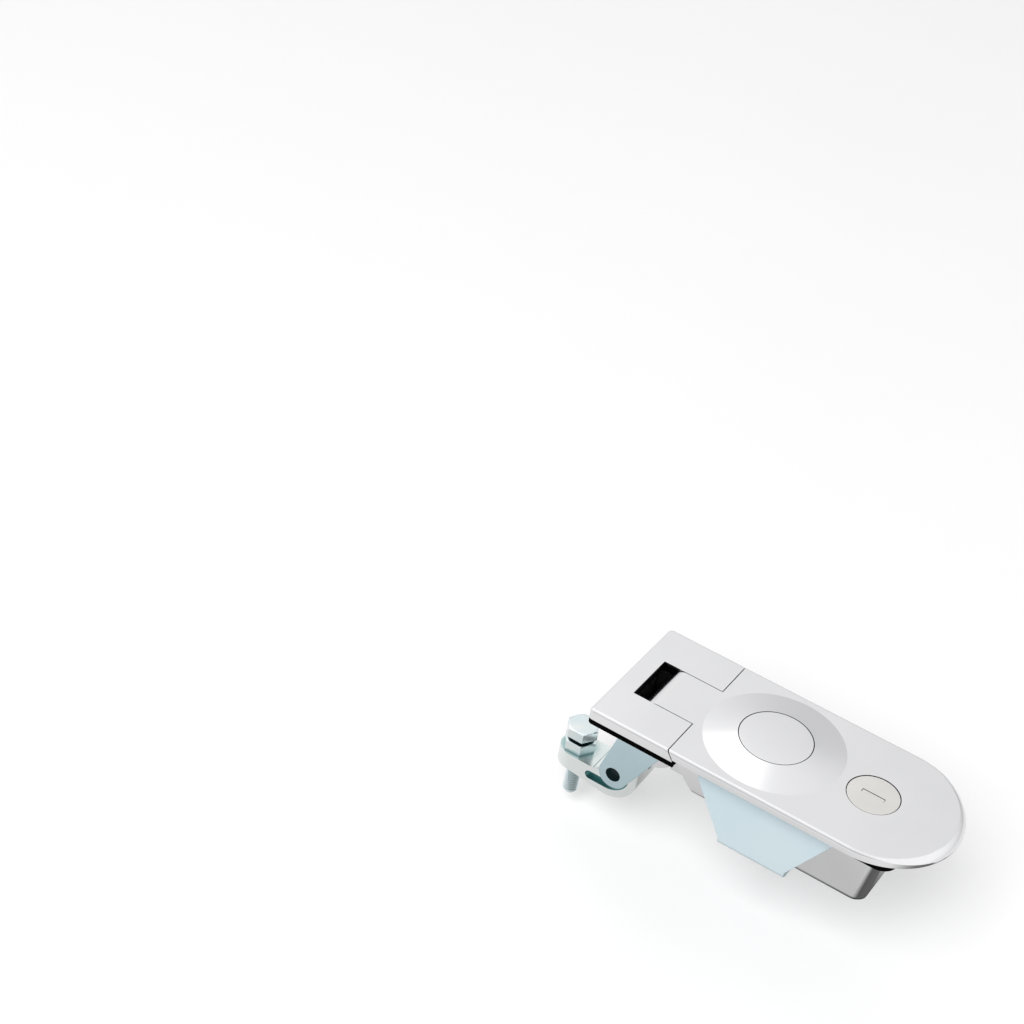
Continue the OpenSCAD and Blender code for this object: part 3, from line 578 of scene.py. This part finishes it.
def set_colour(tree, shader, colour):
    """Colour of a shader from a socket."""
    join(tree, colour, shader.inputs["Base Color"])


def set_roughness(tree, shader, mask, low, high):
    """Roughness of a shader, from low to high with a mask."""
    join(tree, ramp_value(tree, mask, 0.0, 1.0, low, high), shader.inputs["Roughness"])


def add_bump(tree, shader, height, strength, depth):
    """Surface relief from a height."""
    bump = add_node(tree, "ShaderNodeBump")
    bump.inputs["Strength"].default_value = strength
    bump.inputs["Distance"].default_value = depth
    join(tree, height, bump.inputs["Height"])
    join(tree, bump.outputs["Normal"], shader.inputs["Normal"])


def add_skin(tree, shader, position, scales, grain_share, strength, depth):
    """Relief of a casting's skin, from the scales of its waves and its grain."""
    height = place_group(
        tree,
        "casting_skin",
        position,
        wave_scale=scales[0],
        grain_scale=scales[1],
        grain_share=grain_share,
    )
    add_bump(tree, shader, height, strength, depth)


def add_rings(tree, shader, position, centre, spacing, strength):
    """Relief of turning marks round an upright axis."""
    around = moved(tree, position, centre)
    height = place_group(tree, "turning_rings", around, spacing=spacing)
    add_bump(tree, shader, height, strength, RING_DEPTH)


def shade_in_joints(tree, colour, dark=JOINT_SHADE, reach=JOINT_REACH, open_share=JOINT_OPEN):
    """Colour with painted shade, darker inside narrow joints and pockets."""
    shade = add_node(tree, "ShaderNodeAmbientOcclusion", samples=8)
    shade.inputs["Distance"].default_value = reach
    clear = ramp_value(tree, shade.outputs["AO"], JOINT_CLOSED, open_share)
    return blend_colour(tree, clear, dark, colour)


# Finishes


def chrome_parts(tree, shader, position, colour):
    """Colour and roughness of chrome plate over a casting's skin."""
    mottle, plate = mottled(tree, position, 45.0, shaded(colour, 0.97), shaded(colour, 1.02))
    height = split_axes(tree, position)["Z"]
    satin = ramp_value(tree, height, SATIN_FROM, SATIN_TO, 0.1, 0.18)
    uneven = calculate(tree, "MULTIPLY", mottle, 0.02)
    add_skin(tree, shader, position, (90.0, 5200.0), 0.03, strength=0.05, depth=0.05 * MM)
    return plate, calculate(tree, "ADD", satin, uneven)


def chrome_finish(colour):
    """Chrome plate: satin on the front face, bright behind it."""
    material, tree, shader, position = start_material("chrome_plate", 1.0)
    plate, roughness = chrome_parts(tree, shader, position, colour)
    # Painted shade: the chrome darkens in narrow joints.
    set_colour(tree, shader, shade_in_joints(tree, plate))
    join(tree, roughness, shader.inputs["Roughness"])
    return material


def housing_finish(colour):
    """Chrome plate with painted shade in the well behind the hinge window, which is also duller.
    """
    material, tree, shader, position = start_material("chrome_housing", 1.0)
    plate, roughness = chrome_parts(tree, shader, position, colour)
    # Painted shade: the well behind the hinge window is coloured near black, and the joints
    # darker.
    well = place_group(
        tree,
        "inside_box",
        moved(tree, position, WELL_CENTRE),
        half_size=WELL_HALF_SIZE,
        softness=0.1 * MM,
    )
    set_colour(tree, shader, shade_in_joints(tree, blend_colour(tree, well, plate, WELL_SHADE)))
    dull = calculate(tree, "MULTIPLY", well, 0.5)
    join(tree, calculate(tree, "ADD", roughness, dull), shader.inputs["Roughness"])
    return material


def casting_finish(name, colour):
    """Zinc plate on a casting, with painted shade in its pockets."""
    material, tree, shader, position = start_material(name, 1.0)
    tint = place_group(
        tree,
        "zinc_tint",
        position,
        scale=55.0,
        base=colour,
        cool=shaded(colour, 0.88),
        warm=shaded(colour, 1.06),
    )
    # Painted shade: dark teal in the pockets of the casting.
    pocket_shade = (0.26, 0.45, 0.45, 1.0)
    set_colour(tree, shader, shade_in_joints(tree, tint, pocket_shade, reach=6.0 * MM, open_share=0.95))
    mottle = place_group(tree, "plating_mottle", position, scale=110.0)
    set_roughness(tree, shader, mottle, 0.2, 0.28)
    add_skin(tree, shader, position, (260.0, 3600.0), 0.5, strength=0.25, depth=0.04 * MM)
    return material


def sheet_finish(colour):
    """Zinc plate on rolled sheet, with a faint bloom and rolling streaks."""
    material, tree, shader, position = start_material("rolled_zinc", 0.1)
    tint = place_group(
        tree,
        "zinc_tint",
        position,
        scale=34.0,
        base=colour,
        cool=(0.47, 0.58, 0.64, 1.0),
        warm=(0.54, 0.62, 0.64, 1.0),
    )
    set_colour(tree, shader, tint)
    drawn_out = moved(tree, position, (0.0, 0.0, 0.0), scale=(0.08, 1.0, 1.0))
    streaks = place_group(tree, "plating_mottle", drawn_out, scale=900.0)
    set_roughness(tree, shader, streaks, 0.3, 0.34)
    return material


def fastener_finish(name, colour, centre):
    """Bright zinc plate on a turned fastener about an upright axis."""
    material, tree, shader, position = start_material(name, 1.0)
    tint = place_group(
        tree,
        "zinc_tint",
        position,
        scale=140.0,
        base=colour,
        cool=(0.70, 0.82, 0.86, 1.0),
        warm=(0.88, 0.90, 0.86, 1.0),
    )
    # Painted shade: dark teal in the corners and joints of the fastener.
    corner_shade = (0.12, 0.22, 0.24, 1.0)
    set_colour(tree, shader, shade_in_joints(tree, tint, corner_shade, reach=2.5 * MM, open_share=0.75))
    mottle = place_group(tree, "plating_mottle", position, scale=300.0)
    set_roughness(tree, shader, mottle, 0.14, 0.22)
    add_rings(tree, shader, position, centre, spacing=0.22 * MM, strength=0.08)
    return material


def rubber_finish(colour):
    """Matt black rubber with a fine moulded grain."""
    material, tree, shader, position = start_material("moulded_rubber", 0.0)
    shader.inputs["Specular IOR Level"].default_value = 0.0
    mottle, skin = mottled(tree, position, 160.0, shaded(colour, 0.7), shaded(colour, 1.5))
    set_colour(tree, shader, skin)
    set_roughness(tree, shader, mottle, 0.7, 0.84)
    add_skin(tree, shader, position, (400.0, 6000.0), 0.8, strength=0.2, depth=0.03 * MM)
    return material


def nickel_finish(colour):
    """Satin nickel face with turning marks round the lock's axis."""
    material, tree, shader, position = start_material("satin_nickel", 1.0)
    mottle, plate = mottled(tree, position, 120.0, shaded(colour, 0.96), shaded(colour, 1.03))
    # Painted shade: darker in narrow joints and in the key slot.
    set_colour(tree, shader, shade_in_joints(tree, plate))
    set_roughness(tree, shader, mottle, 0.28, 0.36)
    centre = (LOCK_CENTRE.x, LOCK_CENTRE.y, 0.0)
    add_rings(tree, shader, position, centre, spacing=0.28 * MM, strength=0.1)
    return material


def steel_finish(colour):
    """Plain drawn steel with fine drawing marks."""
    material, tree, shader, position = start_material("drawn_steel", 1.0)
    mottle, drawn = mottled(tree, position, 200.0, shaded(colour, 0.88), shaded(colour, 1.08))
    set_colour(tree, shader, drawn)
    set_roughness(tree, shader, mottle, 0.26, 0.4)
    add_skin(tree, shader, position, (900.0, 5000.0), 0.4, strength=0.1, depth=0.02 * MM)
    return material


def shaded_pin_finish(colour):
    """Near-black steel on the pawl's pin: painted shade for the bottom of its recess."""
    material, tree, shader, position = start_material("shaded_pin_steel", 0.6)
    mottle, shadowed = mottled(tree, position, 900.0, shaded(colour, 0.5), shaded(colour, 1.8))
    set_colour(tree, shader, shadowed)
    set_roughness(tree, shader, mottle, 0.35, 0.6)
    return material


def finish(name):
    """Material of a finish, made when it is first asked for."""
    colours = bpy.context.scene.latch_finishes
    screw_axis = (SCREW_CENTRE.x, 0.0, 0.0)
    makers = {
        "chrome_plate": lambda: chrome_finish(colours.chrome),
        "chrome_housing": lambda: housing_finish(colours.chrome),
        "pawl_zinc": lambda: casting_finish("pawl_zinc", colours.pawl_zinc),
        "yoke_zinc": lambda: casting_finish("yoke_zinc", colours.yoke_zinc),
        "rolled_zinc": lambda: sheet_finish(colours.sheet),
        "zinc_bolt": lambda: fastener_finish("zinc_bolt", colours.zinc, BOLT_AXIS),
        "zinc_screw": lambda: fastener_finish("zinc_screw", colours.zinc, screw_axis),
        "moulded_rubber": lambda: rubber_finish(colours.rubber),
        "satin_nickel": lambda: nickel_finish(colours.nickel),
        "drawn_steel": lambda: steel_finish(colours.steel),
        "shaded_pin_steel": lambda: shaded_pin_finish(colours.shaded_pin_steel),
    }
    return bpy.data.materials.get(name) or makers[name]()


# Mesh helpers


def merged_copy(node):
    """Mesh of a solid with its corners joined and its flat faces whole."""
    bm = bmesh.new()
    bm.from_mesh(NODES[node].data)
    bmesh.ops.remove_doubles(bm, verts=bm.verts, dist=MERGE_GAP)
    bmesh.ops.dissolve_degenerate(bm, edges=bm.edges, dist=MERGE_GAP)
    bmesh.ops.dissolve_limit(
        bm,
        angle_limit=FLAT_ANGLE,
        use_dissolve_boundaries=False,
        verts=bm.verts,
        edges=bm.edges,
    )
    return bm


def round_edges(bm, edges, width, segments=2):
    """Round some edges of a mesh."""
    bmesh.ops.bevel(
        bm,
        geom=edges,
        offset=width,
        offset_type="OFFSET",
        segments=segments,
        profile=0.5,
        affect="EDGES",
        clamp_overlap=True,
        material=-1,
    )


def soften_edges(bm, width, segments=2):
    """Round the edges between faces that meet at more than the sharp angle."""
    inner = [e for e in bm.edges if len(e.link_faces) == 2]
    round_edges(bm, [e for e in inner if e.calc_face_angle() > SHARP_ANGLE], width, segments)


def new_object(bm, name, material):
    """Object at the origin from a mesh, which is freed, and a material."""
    mesh = bpy.data.meshes.new(name)
    bm.to_mesh(mesh)
    bm.free()
    mesh.materials.append(material)
    made = bpy.data.objects.new(name, mesh)
    bpy.context.scene.collection.objects.link(made)
    return made


def make_piece(bm, name, look, body):
    """Smooth shaded object in a finish, riding on its body."""
    piece = new_object(bm, name, finish(look))
    piece.data.shade_smooth()
    piece.data.set_sharp_from_angle(angle=SMOOTH_ANGLE)
    level = piece.modifiers.new("flat_faces", "WEIGHTED_NORMAL")
    level.keep_sharp = True
    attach(piece, body)
    return piece


def dress_copy(node, name, look, body, edge, segments=2):
    """Softened copy of a solid, standing for it."""
    bm = merged_copy(node)
    soften_edges(bm, edge, segments)
    piece = make_piece(bm, name, look, body)
    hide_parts(node)
    return piece


def crease_ring(mesh, radius):
    """Keep the crisp foot of a round dome about the Z axis."""
    for edge in mesh.edges:
        ends = [mesh.vertices[index].co for index in edge.vertices]
        if all(abs(math.hypot(p.x, p.y) - radius) < ROUND_GAP and p.z > 0 for p in ends):
            edge.use_edge_sharp = True


def dress_node(node, look):
    """Finish of a solid that stays as it is."""
    mesh = NODES[node].data
    mesh.materials.clear()
    mesh.materials.append(finish(look))


# Operators


class LATCH_OT_chrome_castings(bpy.types.Operator):
    """Make the chrome trim, handle and push button"""

    bl_idname = "latch.chrome_castings"
    bl_label = "Chrome castings"

    def execute(self, context):
        sizes = context.scene.latch_sizes
        edge = sizes.plate_edge
        dress_copy("housing", "trim_and_pan", "chrome_housing", "frame", edge)
        handle = dress_copy("handle", "lift_handle", "chrome_plate", "lever", edge)
        crease_ring(handle.data, sizes.dome_radius)
        dress_copy("push_button", "button_cap", "chrome_plate", "button", edge)
        return {"FINISHED"}


class LATCH_OT_gasket(bpy.types.Operator):
    """Make the rubber gasket"""

    bl_idname = "latch.gasket"
    bl_label = "Gasket"

    def execute(self, context):
        edge = context.scene.latch_sizes.rubber_edge
        dress_copy("gasket", "panel_gasket", "moulded_rubber", "frame", edge)
        return {"FINISHED"}


class LATCH_OT_bracket(bpy.types.Operator):
    """Make the clamping bracket and its screw"""

    bl_idname = "latch.bracket"
    bl_label = "Clamping bracket"

    def execute(self, context):
        sizes = context.scene.latch_sizes
        edge = sizes.sheet_edge
        dress_copy("bracket", "clamp_bracket", "rolled_zinc", "frame", edge)
        edge = sizes.fastener_edge
        dress_copy("bracket_screw", "clamp_screw", "zinc_screw", "frame", edge)
        return {"FINISHED"}


class LATCH_OT_yoke_and_pawl(bpy.types.Operator):
    """Make the cast yoke and pawl"""

    bl_idname = "latch.yoke_and_pawl"
    bl_label = "Yoke and pawl"

    def execute(self, context):
        edge = context.scene.latch_sizes.casting_edge
        dress_copy("yoke", "cast_yoke", "yoke_zinc", "lever", edge, segments=3)
        dress_copy("pawl", "cast_pawl", "pawl_zinc", "claw", edge, segments=3)
        return {"FINISHED"}


class LATCH_OT_adjusting_bolt(bpy.types.Operator):
    """Make the threaded adjusting bolt and its jam nut"""

    bl_idname = "latch.adjusting_bolt"
    bl_label = "Adjusting bolt"

    def execute(self, context):
        sizes = context.scene.latch_sizes
        radius = self.shank_radius()
        root = radius - sizes.thread_depth
        edge = sizes.fastener_edge
        bm = merged_copy("adjusting_bolt")
        self.turn_down_shank(bm, radius, root)
        soften_edges(bm, edge)
        self.add_thread(bm, sizes.thread_pitch, radius, root)
        bolt = make_piece(bm, "threaded_bolt", "zinc_bolt", "claw")
        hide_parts("adjusting_bolt")
        dress_copy("jam_nut", "lock_nut", "zinc_bolt", "claw", edge)
        return {"FINISHED"}

    def from_axis(self, point):
        """Distance of a point from the bolt's axis."""
        return math.hypot(point.x - BOLT_AXIS.x, point.y)

    def shank_radius(self):
        """Radius of the bolt's shank, from its corners below the nut."""
        mesh = NODES["adjusting_bolt"].data
        return max(self.from_axis(v.co) for v in mesh.vertices if v.co.z < NUT_LOW.z)

    def turn_down_shank(self, bm, radius, root):
        """Bring the shank in to the root of its thread."""
        top = NUT_HIGH.z + SHANK_PAST_NUT
        shank = [v for v in bm.verts if self.from_axis(v.co) < radius + ROUND_GAP]
        share = root / radius
        bmesh.ops.scale(
            bm,
            vec=(share, share, 1.0),
            space=Matrix.Translation(-BOLT_AXIS),
            verts=[v for v in shank if v.co.z < top],
        )

    def add_thread(self, bm, pitch, radius, root):
        """Wind the thread's ridge round the shank."""
        start = BOLT_LOW.z + THREAD_START
        turns = int((NUT_HIGH.z + THREAD_PAST_NUT - start) / pitch)
        foot = root - THREAD_SINK
        ridge = [
            (foot, -THREAD_FOOT * pitch),
            (radius, -THREAD_CREST * pitch),
            (radius, THREAD_CREST * pitch),
            (foot, THREAD_FOOT * pitch),
        ]
        corners = [bm.verts.new((BOLT_AXIS.x + r, 0.0, start + z)) for r, z in ridge]
        outline = bm.faces.new(corners)
        bmesh.ops.spin(
            bm,
            geom=[outline],
            cent=BOLT_AXIS,
            axis=(0.0, 0.0, 1.0),
            dvec=(0.0, 0.0, pitch / THREAD_STEPS),
            angle=2 * math.pi * turns,
            steps=THREAD_STEPS * turns,
            use_merge=False,
            use_duplicate=False,
        )
        bmesh.ops.recalc_face_normals(bm, faces=bm.faces)


class LATCH_OT_key_lock(bpy.types.Operator):
    """Make the lock's face and the shutter in its key slot"""

    bl_idname = "latch.key_lock"
    bl_label = "Key lock"

    def execute(self, context):
        sizes = context.scene.latch_sizes
        edge = sizes.plate_edge
        dress_copy("lock_plug", "lock_face", "satin_nickel", "lock", edge)
        self.add_shutter(sizes.shutter_depth)
        return {"FINISHED"}

    def add_shutter(self, depth):
        """Set a thin plate with round edges in the key slot."""
        bm = bmesh.new()
        bmesh.ops.create_cube(bm, size=1.0)
        bmesh.ops.scale(bm, vec=SHUTTER_SIZE, verts=bm.verts)
        round_edges(bm, list(bm.edges), SHUTTER_EDGE)
        middle = PLUG_HIGH.z - depth - SHUTTER_SIZE[2] / 2
        bmesh.ops.translate(bm, vec=(LOCK_CENTRE.x, 0.0, middle), verts=bm.verts)
        make_piece(bm, "key_shutter", "satin_nickel", "lock")


class LATCH_OT_inner_pieces(bpy.types.Operator):
    """Finish the pins, springs, clips and the catch inside the latch"""

    bl_idname = "latch.inner_pieces"
    bl_label = "Inner pieces"

    steel_nodes = (
        "pivot_shaft",
        "pawl_spring",
        "button_clip",
        "guide_screws",
        "lock_barrel",
        "lock_clip",
        "cam_screw",
    )
    zinc_nodes = ("catch_slide", "catch_guide", "lock_cam")

    def execute(self, context):
        for node in self.steel_nodes:
            dress_node(node, "drawn_steel")
        for node in self.zinc_nodes:
            dress_node(node, "rolled_zinc")
        # Painted shade: the pawl's pin is coloured near black for the shade in its recess.
        dress_node("pawl_pin", "shaded_pin_steel")
        self.add_spring("button_spring", "button_coil", "button_press", (0.0, 0.0, 1.0))
        self.add_spring("catch_spring", "catch_coil", "catch_draw", (1.0, 0.0, 0.0))
        return {"FINISHED"}

    def add_spring(self, node, name, joint, axis):
        """Make a coil as a copy of its solid, standing for it."""
        spring = make_piece(merged_copy(node), name, "drawn_steel", "lever")
        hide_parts(node)
        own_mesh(spring)


class LATCH_OT_stage(bpy.types.Operator):
    """Make the floor, the light and the camera"""

    bl_idname = "latch.stage"
    bl_label = "Stage"

    def execute(self, context):
        settings = context.scene.latch_stage
        self.make_floor(settings.floor_height)
        self.make_world(context.scene)
        key = self.make_lamp("key", KEY_PLACE, KEY_SIZE, settings.key_power)
        key.visible_glossy = False
        self.make_lamp("top", TOP_PLACE, TOP_SIZE, settings.top_power)
        self.make_camera(context.scene, settings.lens)
        context.scene.view_settings.view_transform = "Standard"
        return {"FINISHED"}

    def make_floor(self, height):
        """Lay a wide white floor."""
        bm = bmesh.new()
        bmesh.ops.create_grid(bm, x_segments=8, y_segments=8, size=FLOOR_REACH)
        bmesh.ops.translate(bm, vec=(0.0, 0.0, height), verts=bm.verts)
        new_object(bm, "floor", self.floor_material())

    def floor_material(self):
        """White paper that keeps a shadow, lifted a little towards white for the eye."""
        material, tree, shader, position = start_material("white_floor", 0.0)
        shader.inputs["Roughness"].default_value = 0.9
        shader.inputs["Specular IOR Level"].default_value = 0.0
        paper = mottled(tree, position, 3.0, PAPER_DARK, PAPER_LIGHT)[1]
        set_colour(tree, shader, paper)
        glow = add_node(tree, "ShaderNodeEmission")
        path = add_node(tree, "ShaderNodeLightPath")
        eye = path.outputs["Is Camera Ray"]
        # Painted shadow: metal mirrors the floor darker in patches round the latch; the eye sees
        # it white.
        shade = self.mirrored_floor_shadow(tree, position)
        join(tree, calculate(tree, "MAXIMUM", shade, eye), glow.inputs["Color"])
        direct = calculate(tree, "MULTIPLY", eye, EYE_SHARE)
        share = calculate(tree, "MAXIMUM", direct, mirror_rays(tree, path))
        surface = mix_shaders(tree, share, shader.outputs["BSDF"], glow.outputs["Emission"])
        join(tree, surface, tree.nodes["Material Output"].inputs["Surface"])
        return material

    def mirrored_floor_shadow(self, tree, position):
        """Brightness of the floor in the metal, darker in patches of painted shadow round the
        latch.
        """
        shade = 1.0
        for centre, reach, near, dark, light in FLOOR_SHADOW_PATCHES:
            scale = (1 / reach[0], 1 / reach[1], 0.0)
            shares = moved(tree, position, (centre[0], centre[1], 0.0), scale=scale)
            away = vector_step(tree, "LENGTH", shares)["Value"]
            patch = ramp_value(tree, away, near, 1.0, dark, light)
            shade = calculate(tree, "MULTIPLY", patch, shade)
        return shade

    def make_world(self, scene):
        """White surroundings, dimmer low down and ahead where metal mirrors them."""
        world = bpy.data.worlds.new("white_room")
        scene.world = world
        world.use_nodes = True
        tree = world.node_tree
        even = tree.nodes["Background"]
        even.inputs["Color"].default_value = (1.0, 1.0, 1.0, 1.0)
        even.inputs["Strength"].default_value = ROOM_LIGHT
        direction = add_node(tree, "ShaderNodeTexCoord").outputs["Generated"]
        both_ways = vector_step(tree, "ABSOLUTE", direction)["Vector"]
        slope = vector_step(tree, "DOT_PRODUCT", both_ways, ROOM_SLOPE)["Value"]
        rise = ramp_value(tree, slope, -0.1, 0.71)
        mirrored = add_node(tree, "ShaderNodeBackground")
        mirrored.inputs["Strength"].default_value = 1.0
        join(tree, blend_colour(tree, rise, ROOM_DIM, ROOM_BRIGHT), mirrored.inputs["Color"])
        backdrop = add_node(tree, "ShaderNodeBackground")
        backdrop.inputs["Strength"].default_value = 1.0
        path = add_node(tree, "ShaderNodeLightPath")
        unseen = mix_shaders(tree, mirror_rays(tree, path), even.outputs[0], mirrored.outputs[0])
        surface = mix_shaders(tree, path.outputs["Is Camera Ray"], unseen, backdrop.outputs[0])
        join(tree, surface, tree.nodes["World Output"].inputs["Surface"])

    def make_lamp(self, name, place, size, power):
        """Square soft box that faces the latch."""
        lamp = bpy.data.lights.new(name, "AREA")
        lamp.shape = "SQUARE"
        lamp.size = size
        lamp.energy = power
        holder = bpy.data.objects.new(name, lamp)
        holder.location = place
        holder.rotation_euler = (-Vector(place)).to_track_quat("-Z", "Y").to_euler()
        bpy.context.scene.collection.objects.link(holder)
        return holder

    def make_camera(self, scene, lens):
        """Camera at the photograph's viewing angle."""
        camera = bpy.data.cameras.new("camera")
        camera.lens = lens
        camera.sensor_width = 36.0
        camera.clip_start = 0.01
        camera.clip_end = 50.0
        holder = bpy.data.objects.new("camera", camera)
        turn = Matrix((CAMERA_RIGHT, CAMERA_UP, CAMERA_BACK)).transposed().to_4x4()
        holder.matrix_world = Matrix.Translation(CAMERA_PLACE) @ turn
        scene.collection.objects.link(holder)
        scene.camera = holder


class LATCH_PT_panel(bpy.types.Panel):
    """Sidebar panel that lists the latch's pieces and settings"""

    bl_idname = "LATCH_PT_panel"
    bl_label = "Compression latch"
    bl_space_type = "VIEW_3D"
    bl_region_type = "UI"
    bl_category = "Latch"

    def draw(self, context):
        layout = self.layout
        scene = context.scene
        for operator in OPERATORS:
            layout.operator(operator.bl_idname)
        for group in (scene.latch_sizes, scene.latch_finishes, scene.latch_stage):
            box = layout.box()
            for name in group.__annotations__:
                box.prop(group, name)


OPERATORS = (
    LATCH_OT_chrome_castings,
    LATCH_OT_gasket,
    LATCH_OT_bracket,
    LATCH_OT_yoke_and_pawl,
    LATCH_OT_adjusting_bolt,
    LATCH_OT_key_lock,
    LATCH_OT_inner_pieces,
    LATCH_OT_stage,
)
CLASSES = (LatchSizes, LatchFinishes, LatchStage) + OPERATORS + (LATCH_PT_panel,)


def register():
    """Register the classes and hang the settings on the scene."""
    for cls in CLASSES:
        bpy.utils.register_class(cls)
    bpy.types.Scene.latch_sizes = bpy.props.PointerProperty(type=LatchSizes)
    bpy.types.Scene.latch_finishes = bpy.props.PointerProperty(type=LatchFinishes)
    bpy.types.Scene.latch_stage = bpy.props.PointerProperty(type=LatchStage)


def unregister():
    """Take the settings off the scene and unregister the classes."""
    del bpy.types.Scene.latch_stage
    del bpy.types.Scene.latch_finishes
    del bpy.types.Scene.latch_sizes
    for cls in reversed(CLASSES):
        bpy.utils.unregister_class(cls)


def main():
    """Build the latch and its stage."""
    register()
    bpy.ops.latch.chrome_castings()
    bpy.ops.latch.gasket()
    bpy.ops.latch.bracket()
    bpy.ops.latch.yoke_and_pawl()
    bpy.ops.latch.adjusting_bolt()
    bpy.ops.latch.key_lock()
    bpy.ops.latch.inner_pieces()
    bpy.ops.latch.stage()


if __name__ == "__main__":
    main()
